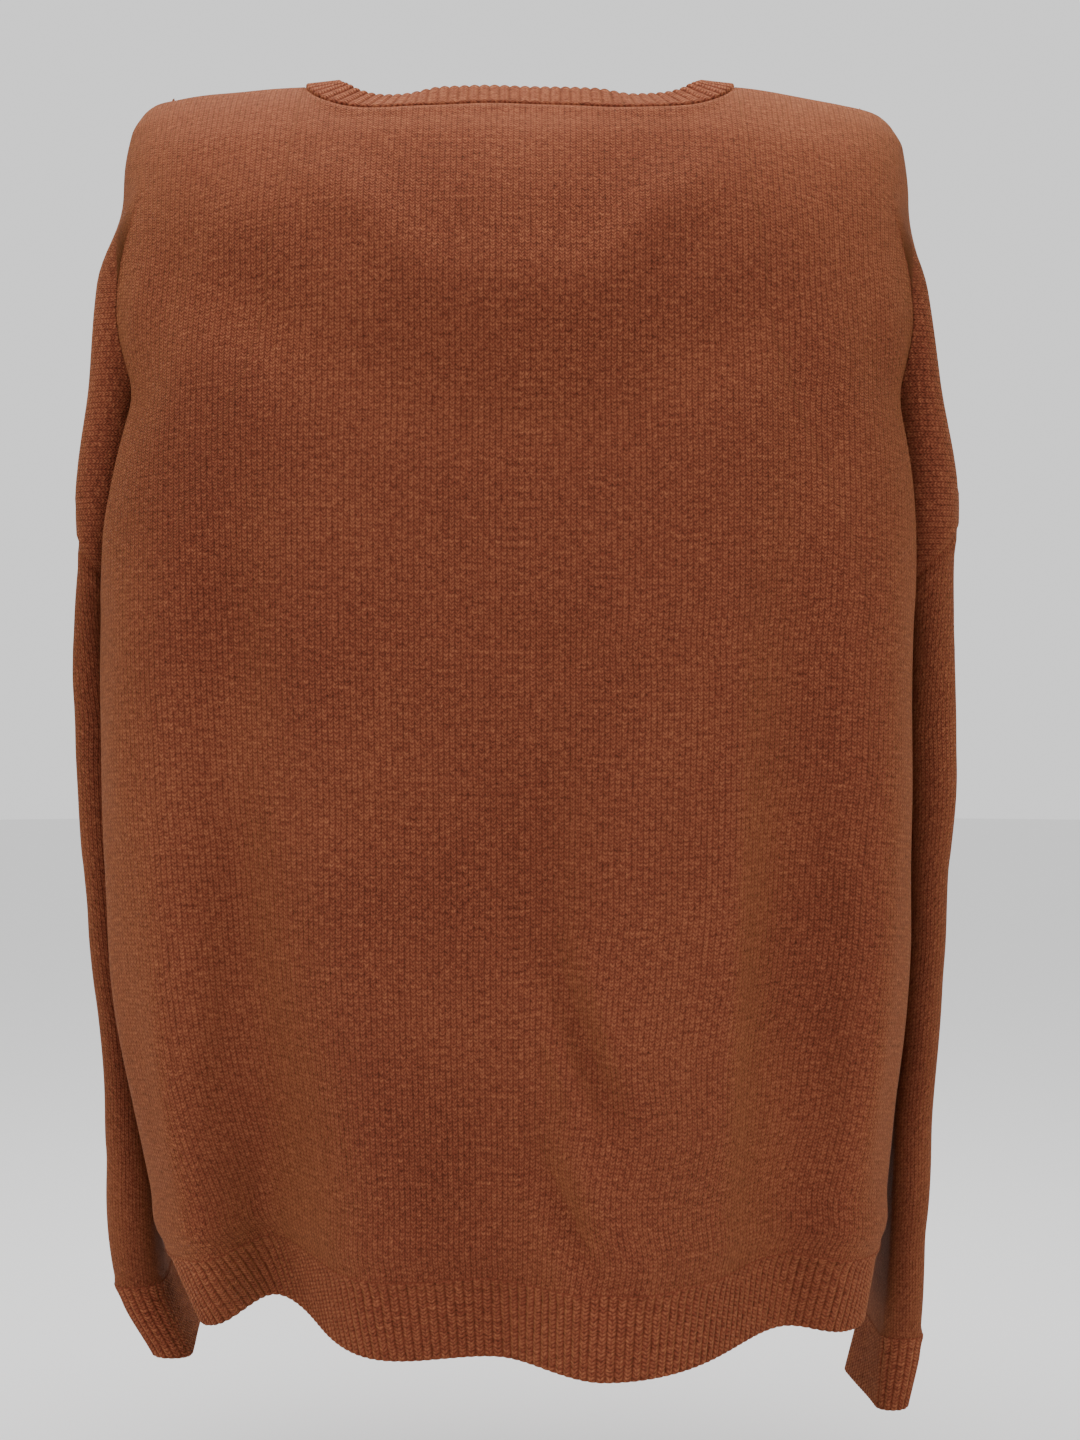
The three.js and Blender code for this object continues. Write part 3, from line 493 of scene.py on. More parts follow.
def body_rows(face, side, drop):
    """Half a panel, a row for each drop, from the centre line to the side."""
    drop = drop[:, None]
    end = np.radians(fold_angle(np.minimum(drop, UNDERARM_DROP)))
    fades = 150 if face < 0 else 420  # drop by which the rows no longer follow the neck
    neck = neck_drop(face, BODY_SHARES * SHOULDER_HALF / NECK_HALF)
    at = drop + neck * clamp01(1 - drop / fades)
    reach = half_width(side, at) * np.sin(end) ** (2 / section["square"](at))
    out = BODY_SHARES * mix(SHOULDER_HALF, reach, clamp01(2 * BODY_SHARES - 1))
    even = angle_along(face, side, at, end, BODY_SHARES)
    rows = body_points(face, side, mix(angle_at(side, at, out), even, ease(drop / EVEN_DROP)), at)
    # The outermost columns are drawn to the arm's first column, and less and less below the underarm.
    above = drop[:, 0] <= UNDERARM_DROP
    fold = arm_rows(face, side, drop[above, 0])[:, :1]
    snap = fold - body_points(face, side, end[above], drop[above])
    fading = 1 - ease((drop[~above] - UNDERARM_DROP) / 70)[..., None]
    near_fold = ease((BODY_SHARES - 0.72) / 0.28)[None, :, None]
    rows[above] += snap * near_fold
    rows[~above] += snap[-1:] * fading * near_fold
    return rows


UNDERARM_ROW = (len(UPPER_PLACES) - 1) * FINE
UPPER_DROPS = np.interp(np.arange(UNDERARM_ROW + 1) / FINE, range(len(UPPER_PLACES)), UPPER_PLACES)


def columns_out(side, first, last):
    """Places of a panel's columns on one side, counted out from the centre line."""
    return MIDDLE + side * np.arange(first, last + 1)


def panel_drops(face):
    """Drops of a panel's rows, then of the rows of its hem."""
    seam = SEAM_DROP[face]
    count = round((seam - UNDERARM_DROP) / 5)
    lower = np.linspace(UNDERARM_DROP, seam, count + 1)[1:]
    hem = np.linspace(seam, seam + HEM_WIDTH, BAND_ROWS + 1)[1:]
    return np.concatenate([UPPER_DROPS, lower]), hem


# ---- Creases, seams and surface normals ----


def steps(points, axis, closed=False):
    """The difference between each point's neighbours along an axis, one-sided at the edges of the cloth."""
    after, before = np.roll(points, -1, axis), np.roll(points, 1, axis)
    if not closed:
        first = [slice(None)] * points.ndim
        last = list(first)
        first[axis], last[axis] = 0, -1
        before[tuple(first)] = points[tuple(first)]
        after[tuple(last)] = points[tuple(last)]
    after = np.where(np.isnan(after), points, after)
    before = np.where(np.isnan(before), points, before)
    return after - before


def net_normals(points, facing, closed=False):
    """Normals of a net, outward where facing is the face or side that it is on."""
    return facing * unit(np.cross(steps(points, 1, closed), steps(points, 0)))


def creases(rows, points):
    """How far the creases of a table move each point out along its normal."""
    moved = np.zeros(points.shape[:-1])
    for x0, y0, z0, x1, y1, z1, width, out in zip(*rows.values()):
        start, way = np.array([x0, y0, z0]), np.array([x1 - x0, y1 - y0, z1 - z0])
        along = clamp01((points - start) @ way / (way @ way))
        off = np.linalg.norm(points - start - along[..., None] * way, axis=-1)
        moved += out * np.sin(np.pi * mix(0.13, 0.87, along)) * np.exp(-((off / width) ** 2))
    return moved


def unevenness(points):
    """The slight waviness of hanging jersey."""
    x, y, z = np.moveaxis(points, -1, 0)
    slow = np.sin(x / 21 + z / 47 + 1.3) * np.sin(y / 26 - z / 33 + 0.4)
    quick = np.sin(x / 9.5 - y / 12 + z / 61 + 2.1) * np.sin(z / 17 + x / 23)
    return 0.65 * slow + 0.28 * quick


def seam_ridge(distance):
    """The soft ridge in which a panel is linked to its ribs."""
    return 0.75 * np.exp(-((distance / 2.8) ** 2)) - 0.35 * np.exp(-(((distance - 6) / 3) ** 2))


def seam_relief(distance, puff=0.5):
    """The groove of a linked seam, with the cloth standing a little proud beside it."""
    return puff * np.exp(-(((distance - 5) / 2.6) ** 2)) - 1.1 * np.exp(-((distance / 1.7) ** 2))


def reach_along(points, axis):
    """Distance travelled along an axis of a net, starting at 0."""
    lengths = np.linalg.norm(np.diff(points, axis=axis), axis=-1)
    start = np.zeros_like(np.take(lengths, [0], axis))
    return np.concatenate([start, np.cumsum(lengths, axis=axis)], axis=axis)


FAR = 99.0  # a distance at which no seam shows


class Net:
    """A patch of cloth: points of its outside, outward normals, and the wale and course at each point."""

    def __init__(self, points, normals, stitch, parting=None):
        self.points, self.normals, self.stitch, self.parting = points, normals, stitch, parting

    def at(self, place):
        """The points and normals of a part of the net."""
        return self.points[place], self.normals[place]


def panel_stitches(points, face, drops):
    """Wales and courses of a panel, in millimetres from the centre line and from the shoulder seam."""
    across = np.full(points.shape[:2], np.nan)
    for side in (-1, 1):
        columns = columns_out(side, 0, MIDDLE)
        half = points[:, columns[: BODY_FINE + 1]]
        level = reach_along(half * [1, 1, 0], 1)
        body = mix(np.abs(half[..., 0]), level, ease(drops / EVEN_DROP)[:, None])
        widest = body[UNDERARM_ROW, -1]
        body[UNDERARM_ROW:] *= widest / body[UNDERARM_ROW:, -1:]
        across[:, columns[: BODY_FINE + 1]] = side * body
        arm = reach_along(points[: UNDERARM_ROW + 1, columns[BODY_FINE:]], 1)
        across[: UNDERARM_ROW + 1, columns[BODY_FINE:]] = side * (body[: UNDERARM_ROW + 1, -1:] + arm)
    down = np.nan_to_num(reach_along(points, 0))
    out = np.abs(np.arange(-MIDDLE, MIDDLE + 1))
    share = np.minimum(np.interp(out, range(BODY_FINE + 1), BODY_SHARES) * SHOULDER_HALF / NECK_HALF, 1)
    fall = np.linspace(0, FRONT_NECK_DROP + 1, 400)
    over = np.stack([fall, depth(face, fall)], axis=-1)
    down = down + np.interp(neck_drop(face, share), fall, reach_along(over, 0))
    stitch = np.stack([across, down], axis=-1)
    # On the arm the wales come round to run level, square to the shoulder seam.
    late = ease((UPPER_DROPS - 30) / 90)[:, None]
    narrow = mix(1.0, 0.02, ease((UPPER_DROPS - 30) / 80))[:, None]
    blend = late * ease(ARM_PLACES / ARM_COLUMNS / narrow)
    rows = slice(0, UNDERARM_ROW + 1)
    for side in (-1, 1):
        columns = columns_out(side, BODY_FINE, MIDDLE)
        part = points[rows][:, columns]
        level = reach_along(part[:, ::-1] * [1, 1, 0], 1)[:, ::-1]
        wale = side * (abs(across[0, columns[-1]]) + part[0, -1, 2] - part[..., 2])
        turned = np.stack([wale, level], axis=-1)
        stitch[rows, columns] = mix(stitch[rows][:, columns], turned, blend[..., None])
    return stitch


@functools.cache
def panel(face):
    """A body panel and the ground of its hem, from the shoulder seam of the left arm to that of the right."""
    drops, hem_drops = panel_drops(face)
    every = np.concatenate([drops, hem_drops])
    halves = {}
    for side in (-1, 1):
        arm = np.full((len(every), ARM_FINE, 3), np.nan)
        arm[: UNDERARM_ROW + 1] = arm_rows(face, side, UPPER_DROPS)[:, 1:]
        halves[side] = np.concatenate([body_rows(face, side, every), arm], axis=1)
    points = np.concatenate([halves[-1][:, ::-1], halves[1][:, 1:]], axis=1)
    parting = parting_plane(points, every)
    normals = net_normals(points, face)
    close_seams(points, normals, parting)
    out = np.abs(np.arange(-MIDDLE, MIDDLE + 1))
    on_arm = ease((out - BODY_FINE) / FINE)
    place = np.nan_to_num(points)
    moved = (1 - on_arm) * creases(BODY_CREASES, place) + on_arm * creases(ARM_CREASES, place)
    moved += unevenness(place)
    seam_row = len(drops) - 1

    def to(reference):
        return np.nan_to_num(np.linalg.norm(points - reference, axis=-1), nan=FAR)

    shoulder = np.where(out >= NECK_FINE, to(points[:1]), FAR)
    neck = np.where(out < NECK_FINE, to(points[:1]), FAR)
    # Both grooves fade out toward the corner where the shoulder seam meets the neck.
    moved += ease((out - NECK_FINE) / 4) * seam_relief(shoulder, SHOULDER_PUFF)
    moved += NECK_DEEP * ease((NECK_FINE - out) / 8) * seam_relief(NECK_SCALE * neck, NECK_PUFF)
    for side in (-1, 1):
        end = MIDDLE + side * MIDDLE
        moved += seam_relief(to(points[:, end : end + 1 or None]), SHOULDER_PUFF) * (out > BODY_FINE)
        sleeve = np.where((out >= BODY_FINE) & (side * np.arange(-MIDDLE, MIDDLE + 1) > 0), 1, 0)
        moved += sleeve * seam_relief(to(points[UNDERARM_ROW : UNDERARM_ROW + 1]), ARMHOLE_PUFF)
    moved += seam_ridge(to(points[seam_row : seam_row + 1]))
    points = keep_apart(points + normals * moved[..., None], face, parting)
    normals = net_normals(points, face)
    close_seams(points, normals, parting)
    if face > 0:
        back, _ = panel(-1)
        for rows, columns in SHARED_SEAMS:
            points[rows, columns] = back.points[rows, columns]
            normals[rows, columns] = back.normals[rows, columns]
    return Net(points, normals, panel_stitches(points, face, every), parting), seam_row


def shared_seams():
    """Where both panels have the same points: the shoulder seams, out along the arms, and the underarms."""
    seams = []
    for side in (-1, 1):
        over = columns_out(side, NECK_FINE, MIDDLE)
        down = np.arange(UNDERARM_ROW + 1)
        seams += [(0 * over, over), (down, 0 * down + over[-1])]
        seams.append(([UNDERARM_ROW], [MIDDLE + side * BODY_FINE]))
    return seams


SHARED_SEAMS = shared_seams()


def parting_plane(points, drops):
    """How far forward the back panel ends and the front begins, at every point."""
    parting = np.zeros(points.shape[:2])
    for side in (-1, 1):
        body = columns_out(side, BODY_FINE // 2, BODY_FINE)
        arm = columns_out(side, BODY_FINE, MIDDLE)
        beside = points[:, body[-1], 1].copy()
        near = (drops[:UNDERARM_ROW] - UNDERARM_DROP + PARTING_MOVES) / PARTING_MOVES
        beside[:UNDERARM_ROW] = beside[UNDERARM_ROW] * ease(near)
        parting[:, body] = beside[:, None]
        end = np.nan_to_num(points[:, arm[-1:], 1])
        parting[:, arm] = mix(beside[:, None], end, ARM_PLACES / ARM_COLUMNS)
    return parting


def keep_apart(points, face, parting):
    """Keeps a panel on its own side of the plane that parts it from the other."""
    points[..., 1] = parting + face * np.maximum(face * (points[..., 1] - parting), 0)
    for rows, columns in SHARED_SEAMS:
        points[rows, columns, 1] = parting[rows, columns]
    return points


def close_seams(points, normals, parting):
    """Leans the cloth the same way in both panels along the seams that join them."""
    on_seam = np.abs(points[..., 1] - parting) < ON_SEAM
    normals[on_seam, 1] = 0
    normals[...] = unit(normals)
    for side in (-1, 1):
        corner = MIDDLE + side * MIDDLE
        normals[0, corner] = unit(normals[0, corner - side] + normals[1, corner])
        normals[UNDERARM_ROW, MIDDLE + side * BODY_FINE] = (0, 0, -1)


# The columns of a sleeve run from the shoulder seam, round behind to the underarm, and back before it.
RING = [(-1 if r <= ARM_FINE else 1, abs(ARM_FINE - r)) for r in range(2 * ARM_FINE)]


@functools.cache
def sleeve(side):
    """A sleeve and the ground of its cuff."""
    faces, columns = np.array(RING).T
    places = [(UNDERARM_ROW, MIDDLE + side * (BODY_FINE + column)) for column in columns]
    armhole = [panel(face)[0].at(place) for face, place in zip(faces.tolist(), places)]
    start, start_normals = np.array(armhole).transpose(1, 0, 2)
    # Down the sleeve from 0 to 1, then down the cuff from 1 to 2.
    cuff_places = [1 + 0.1 * k for k in range(1, BAND_ROWS + 1)]
    places = np.concatenate([np.linspace(0, 1, SLEEVE_FINE + 1) ** 1.05, cuff_places])[:, None]
    top = CUFF_TOP[side]
    z = np.where(places <= 1, mix(start[:, 2], top, places), top - CUFF_WIDTH * (places - 1))
    loops = ArmLoops(side, z)
    underarm_z = shoulder_line(side, SHOULDER_HALF, UNDERARM_DROP) - UNDERARM_DROP
    first = ArmLoops(side, mix(underarm_z, ARMHOLE_TOP, 0.5))
    points = np.zeros(z.shape + (3,))
    for face in (-1, 1):
        share = mix(first.shares(face, columns / FINE), loops.shares(face, columns / FINE), ease(places * 5))
        points = np.where((faces == face)[None, :, None], loops.points(loops.way(face, share)), points)
    normals = net_normals(points, side, closed=True)
    down = np.linalg.norm(points - start, axis=-1)
    moved = creases(ARM_CREASES, points) + unevenness(points) + seam_relief(down, SLEEVE_PUFF)
    moved += seam_ridge(np.abs(points[..., 2] - top))
    points = points + normals * moved[..., None]
    points[0] = start
    normals = net_normals(points, side, closed=True)
    normals[0] = start_normals
    rounds = reach_along(np.concatenate([points, points[:, :1]], axis=1), 1)
    around = rounds[:, :-1] / rounds[:, -1:] * SLEEVE_ROUND
    stitch = np.stack([around, reach_along(points, 0)], axis=-1)
    return Net(points, normals, stitch), SLEEVE_FINE


@functools.cache
def neck_ground():
    """The neck seam and the ground of the neckband, from the left shoulder along the back to the right
    shoulder and back along the front."""
    columns = [(-1, j) for j in range(-NECK_FINE, NECK_FINE + 1)]
    columns += [(1, j) for j in range(NECK_FINE - 1, -NECK_FINE, -1)]
    seam = np.array([panel(face)[0].points[0, MIDDLE + j] for face, j in columns])
    side = np.array([1 if j >= 0 else -1 for _, j in columns])
    face = np.array([f for f, _ in columns])
    share = np.array([abs(j) for _, j in columns]) / NECK_FINE
    rise = band_rise(share)
    reach = np.sqrt(NECKBAND_WIDTH**2 - rise**2)
    turn = math.pi / 2 * share**3
    behind = seam + np.stack([-side * reach * np.sin(turn), reach * np.cos(turn), rise], axis=-1)
    drop = neck_drop(1, share) * (1 - NECKBAND_MITRE / FRONT_NECK_DROP)
    out = share * (NECK_HALF - NECKBAND_WIDTH)
    left, right = (body_points(1, each, angle_at(each, drop, out), drop) for each in (-1, 1))
    before = np.where(side[:, None] < 0, left, right)
    top = np.where(face[:, None] < 0, behind, before)
    ground = mix(seam, top, np.linspace(0, 1, NECKBAND_ROWS)[:, None, None])
    normals = net_normals(ground, 1, closed=True)
    return ground, normals


# ---- Making meshes ----


def shell(name, outer, inner, stitch, normals, closed=False, around=0.0):
    """A closed wall between an outer and an inner net. around: how many millimetres of wales a tube takes."""
    rows, columns = outer.shape[:2]
    index = np.arange(rows * columns).reshape(rows, columns)
    there = ~np.isnan(outer[..., 0])
    beside = np.roll(index, -1, 1) if closed else index[:, 1:]
    here = index if closed else index[:, :-1]
    quads = np.stack([here[:-1], here[1:], beside[1:], beside[:-1]], axis=-1).reshape(-1, 4)
    wraps = np.zeros((rows - 1, here.shape[1], 4), bool)
    if closed:
        wraps[:, -1, 2:] = True
    wraps = wraps.reshape(-1, 4)
    kept = there.ravel()[quads].all(axis=1)
    quads, wraps = quads[kept], wraps[kept]
    flat = outer.reshape(-1, 3)
    across = np.cross(flat[quads[:, 2]] - flat[quads[:, 0]], flat[quads[:, 3]] - flat[quads[:, 1]])
    if (across * normals.reshape(-1, 3)[quads[:, 0]]).sum() < 0:
        quads, wraps = quads[:, ::-1], wraps[:, ::-1]
    count = rows * columns
    wall, wall_wraps = quads[:, ::-1] + count, wraps[:, ::-1]
    edges = np.stack([quads, np.roll(quads, -1, 1)], axis=-1).reshape(-1, 2)
    edge_wraps = np.stack([wraps, np.roll(wraps, -1, 1)], axis=-1).reshape(-1, 2)
    codes, back = edges[:, 0] * count + edges[:, 1], edges[:, 1] * count + edges[:, 0]
    free = ~np.isin(back, codes)
    a, b = edges[free].T
    strip = np.stack([b, a, a + count, b + count], axis=-1)
    aw, bw = edge_wraps[free].T
    strip_wraps = np.stack([bw, aw, aw, bw], axis=-1)
    faces = np.concatenate([quads, wall, strip])
    face_wraps = np.concatenate([wraps, wall_wraps, strip_wraps])
    used, places = np.unique(faces, return_inverse=True)
    places = places.reshape(faces.shape)
    verts = np.concatenate([flat, inner.reshape(-1, 3)])[used] * MM
    mesh = bpy.data.meshes.new(name)
    mesh.from_pydata(verts.tolist(), [], places.tolist())
    uv = np.concatenate([stitch.reshape(-1, 2)] * 2)[faces.ravel()]
    uv[face_wraps.ravel(), 0] += around
    layer = mesh.uv_layers.new(name="stitches")
    layer.data.foreach_set("uv", uv.astype(np.float32).ravel())
    mesh.polygons.foreach_set("use_smooth", np.ones(len(faces), bool))
    sharp = mesh.attributes.new("sharp_edge", "BOOLEAN", "EDGE")
    rims = {tuple(sorted(pair)) for pair in places[-len(strip) :].reshape(-1, 2).tolist()}
    ends = np.zeros(len(mesh.edges) * 2, int)
    mesh.edges.foreach_get("vertices", ends)
    sharp.data.foreach_set("value", [tuple(sorted(pair)) in rims for pair in ends.reshape(-1, 2).tolist()])
    mesh.update()
    piece = bpy.data.objects.new(name, mesh)
    bpy.context.scene.collection.objects.link(piece)
    return piece


def settle(piece, node, finish):
    """Gives a piece of cloth its finish and its body, and hides the solid that it stands for."""
    piece.data.materials.append(finish)
    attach(piece, "root")
    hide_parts(node)


def read_net(net, places, axis):
    """Reads a net at places between its rows, axis 0, or between its columns, axis 1."""
    i = np.minimum(places.astype(int), net.shape[axis] - 2)
    t = (places - i)[:, None, None] if axis == 0 else (places - i)[None, :, None]
    return mix(np.take(net, i, axis), np.take(net, i + 1, axis), t)


def rib_band(name, ground, sizes, closed=False, spread=1.0, scallop=0.25, roll=0.0):
    """A ribbed band over a ground net that runs from its seam to its free edge. The ribs are worked in
    columns across its width, rounded off at both ends, and show on both of its sides. spread: how far the
    ribs are stretched apart. scallop: how far they stand out at the free edge. roll: how far the band
    stands over its seam."""
    points, normals = ground
    if closed:
        points = np.concatenate([points, points[:, :1]], axis=1)
        normals = np.concatenate([normals, normals[:, :1]], axis=1)
    half = len(points) // 2
    reach = reach_along(points[half : half + 1], 1)[0]
    pitch = sizes.rib_pitch / MM
    ribs = round(reach[-1] / pitch / spread)
    turns = np.arange(ribs * RIB_STEPS + 1) / RIB_STEPS
    places = np.interp(np.linspace(0, reach[-1], len(turns)), reach, np.arange(len(reach)))
    points, normals = read_net(points, places, 1), unit(read_net(normals, places, 1))
    width = np.linalg.norm(points[-1] - points[0], axis=-1).mean()
    # The rows lie closer together at the seam and at the free edge, where the ribs are rounded off.
    middle = np.linspace(5, width - 4, max(3, round(width / 4)))
    across = np.concatenate([(0, 0.4, 1, 1.8, 3), middle, width - np.array([2.6, 1.5, 0.8, 0.3, 0])])
    rows = across / width * (len(points) - 1)
    points, normals = read_net(points, rows, 0), unit(read_net(normals, rows, 0))
    turn = turns % 1
    ridge = 1 - np.abs(2 * turn - 1) ** 2
    start, edge = clamp01(across / 1.8)[:, None], clamp01((width - across) / 1.5)[:, None]
    head = np.sqrt(1 - (1 - start) ** 2)
    rim = np.sqrt(1 - 0.97 * (1 - edge) ** 2)
    raised = sizes.rib_depth / MM * ridge * head * rim
    thick = sizes.thickness / MM
    over = roll * head * (1 - 0.6 * across[:, None] / width)
    thinned = thick / 2 * (1 - rim)
    outward, inward = over + raised - thinned, over + 0.75 * raised - thick + thinned
    tip = unit(points[-1] - points[-2])
    reach_out = scallop * ridge[None, :, None] * ease(1 - (width - across) / 6)[:, None, None] * tip
    outer = points + normals * outward[..., None] + reach_out
    inner = points + normals * inward[..., None] + reach_out
    u = np.broadcast_to(turns * pitch, outer.shape[:2])
    v = np.broadcast_to(across[:, None], outer.shape[:2])
    stitch = np.stack([u, v], axis=-1)
    if closed:
        outer, inner, stitch, normals = outer[:, :-1], inner[:, :-1], stitch[:, :-1], normals[:, :-1]
    return shell(name, outer, inner, stitch, normals, closed, ribs * pitch)


# ---- Shader maths ----


class Value:
    """A socket of a shader tree that can be used in sums."""

    def __init__(self, tree, socket):
        self.tree, self.socket = tree, socket

    def maths(self, operation, *values):
        return self.tree.add("ShaderNodeMath", {"operation": operation}, dict(enumerate((self, *values))))

    def __sub__(self, other):
        return self.maths("SUBTRACT", other)

    def __pow__(self, other):
        return self.maths("POWER", other)

    def __add__(self, other):
        return self.maths("ADD", other)

    def __mul__(self, other):
        return self.maths("MULTIPLY", other)

    __radd__, __rmul__ = __add__, __mul__

    def __rsub__(self, other):
        return self * -1 + other

    def __abs__(self):
        return self.maths("ABSOLUTE")

    def fraction(self):
        return self.maths("FRACT")

    def clamped(self):
        return self.tree.add("ShaderNodeClamp", {}, {"Value": self})

    def smooth(self, low, high):
        """0 below low, 1 above high, and a soft step between them."""
        inputs = {"Value": self, "From Min": low, "From Max": high}
        return self.tree.add("ShaderNodeMapRange", {"interpolation_type": "SMOOTHSTEP"}, inputs)


class Nodes:
    """A node tree that is built node by node."""

    def __init__(self, tree):
        self.tree = tree

    def add(self, kind, settings=None, inputs=None, output=0):
        """Adds a node with its settings and its inputs, and returns one output as a value."""
        node = self.tree.nodes.new(kind)
        for name, value in (settings or {}).items():
            if name == "stops":
                spots = node.color_ramp.elements
                for spot, stop in zip((spots[0], spots[-1]), (value[0], value[-1])):
                    spot.position, spot.color = stop
                for place, colour in value[1:-1]:
                    spots.new(place).color = colour
            else:
                setattr(node, name, value)
        for name, value in (inputs or {}).items():
            if isinstance(value, Value):
                self.tree.links.new(value.socket, node.inputs[name])
            else:
                node.inputs[name].default_value = value
        return Value(self, node.outputs[output]) if node.outputs else None


class Finish(Nodes):
    """A material and its node tree."""

    def __init__(self, name):
        self.material = bpy.data.materials.new(name)
        self.material.use_nodes = True
        super().__init__(self.material.node_tree)
        self.tree.nodes.clear()

    def noise(self, place, scale, detail=3, roughness=0.55):
        inputs = {"Vector": place, "Scale": scale, "Detail": detail, "Roughness": roughness}
        return self.add("ShaderNodeTexNoise", {"noise_dimensions": "3D"}, inputs)

    def blend(self, share, first, second):
        """Mixes two colours."""
        return self.add("ShaderNodeMix", {"data_type": "RGBA"}, {"Factor": share, 6: first, 7: second}, 2)

    def close(self, colour, roughness, height, distance, sheen, sheen_tint):
        """Ends the tree in a dull surface. distance: what a height of 1 stands for, in metres."""
        bump = self.add("ShaderNodeBump", {}, {"Height": height, "Distance": distance, "Strength": 1.0})
        inputs = {
            "Base Color": colour,
            "Roughness": roughness,
            "Normal": bump,
            "Specular IOR Level": 0.1,
            "Sheen Weight": sheen,
            "Sheen Roughness": 0.42,
            "Sheen Tint": sheen_tint,
        }
        surface = self.add("ShaderNodeBsdfPrincipled", {}, inputs)
        self.add("ShaderNodeOutputMaterial", {}, {"Surface": surface})
        return self.material

    def shades(self, sizes, share):
        """The wool's colours, from the shade at 0, which is painted shade between the stitches and darker
        fibres, to the lustre at 1, which is painted highlight on the raised legs and paler fibres.
        """
        stops = [(0.0, (*sizes.shade_and_dark_fibre, 1)), (0.5, (*sizes.colour, 1)), (1.0, (*sizes.light, 1))]
        return self.add("ShaderNodeValToRGB", {"stops": stops}, {"Fac": share})


def knit_stitches(u, v, wale, course, lean, leg):
    """Height of stocking stitch, from 0 in its gaps to 1 on its legs. u, v: millimetres across and down.
    lean: how far a leg leans, in courses. leg: where a leg stands highest, in wales from its middle."""
    across = abs((u * (1 / wale)).fraction() - 0.5)
    gap = (across - leg).maths("MAXIMUM", 0) * (1 / (0.5 - leg))
    fold = (leg - across).maths("MAXIMUM", 0) * (1 / leg)
    rounded = (1 - gap * gap * 0.72) * (1 - fold * fold * 0.3)
    rise = (v * (1 / course) + across * lean).fraction() * 2 - 1
    leg_end = (1 - abs(rise) ** 2.4).clamped()
    return rounded * (leg_end * 0.7 + 0.3)


@functools.cache
def jersey_finish(ribbed):
    """Knitted wool and its stitches. ribbed: one column of stitches to each rib, as on the bands."""
    sizes = bpy.context.scene.pullover_cloth
    finish = Finish("ribbed_knit" if ribbed else "jersey_knit")
    uv = finish.add("ShaderNodeUVMap", {"uv_map": "stitches"})
    split = finish.add("ShaderNodeSeparateXYZ", {}, {"Vector": uv})
    u, v = split, Value(finish, split.socket.node.outputs[1])
    place = finish.add("ShaderNodeTexCoord", {}, {}, 3)
    slow = finish.noise(place, 9, 2)
    drift = finish.noise(place, 60, 2) - 0.5
    # The rows of stitches wander a little, and each stitch is pulled its own way.
    u, v = u + drift * 0.7, v + (finish.noise(uv, 0.09, 2) - 0.5) * 1.6
    wale, course = (sizes.rib_pitch if ribbed else sizes.wale) / MM, sizes.course / MM
    loops = finish.noise(uv, 0.42, 2)
    pull = finish.noise(uv, 0.3, 2) - 0.5
    stitch = knit_stitches(u + (loops - 0.5) * 1.2, v + pull * 1.8, wale, course, lean=1.5, leg=0.2)
    fibre = finish.noise(uv, 1.6, 4, 0.65)
    # Lengths of paler and darker yarn lie along the courses.
    along = finish.add("ShaderNodeCombineXYZ", {}, {"X": split * 0.13, "Y": v * 0.42})
    yarn = finish.noise(along, 1.0, 3)
    fleck = finish.noise(uv, 0.75, 2).smooth(0.68, 0.78)
    height = stitch + fibre * 0.4 + loops * 0.5
    # The stitch height is painted into the colour: painted shade in the gaps between the stitches and painted
    # highlight on their raised legs. The noises add random tone of the yarn.
    share = stitch * 0.5 + (fibre - 0.5) * 0.7 + (slow - 0.5) * 0.3
    share = share + (loops - 0.5) * 0.75 + (yarn - 0.5) * 0.5 + fleck * 0.22
    colour = finish.shades(sizes, (share + 0.17).clamped())
    return finish.close(colour, 0.94 - stitch * 0.06, height, 0.0007, sizes.sheen, (*sizes.fuzz, 1))


@functools.cache
def yarn_finish():
    """The linking yarn of the seams."""
    sizes = bpy.context.scene.pullover_cloth
    finish = Finish("linking_yarn")
    place = finish.add("ShaderNodeTexCoord", {}, {}, 3)
    fibre = finish.noise(place, 1500, 3)
    colour = finish.shades(sizes, fibre * 0.6 + 0.12)
    return finish.close(colour, 0.93, fibre, 0.0002, sizes.sheen, (*sizes.fuzz, 1))


# ---- Linking stitches ----


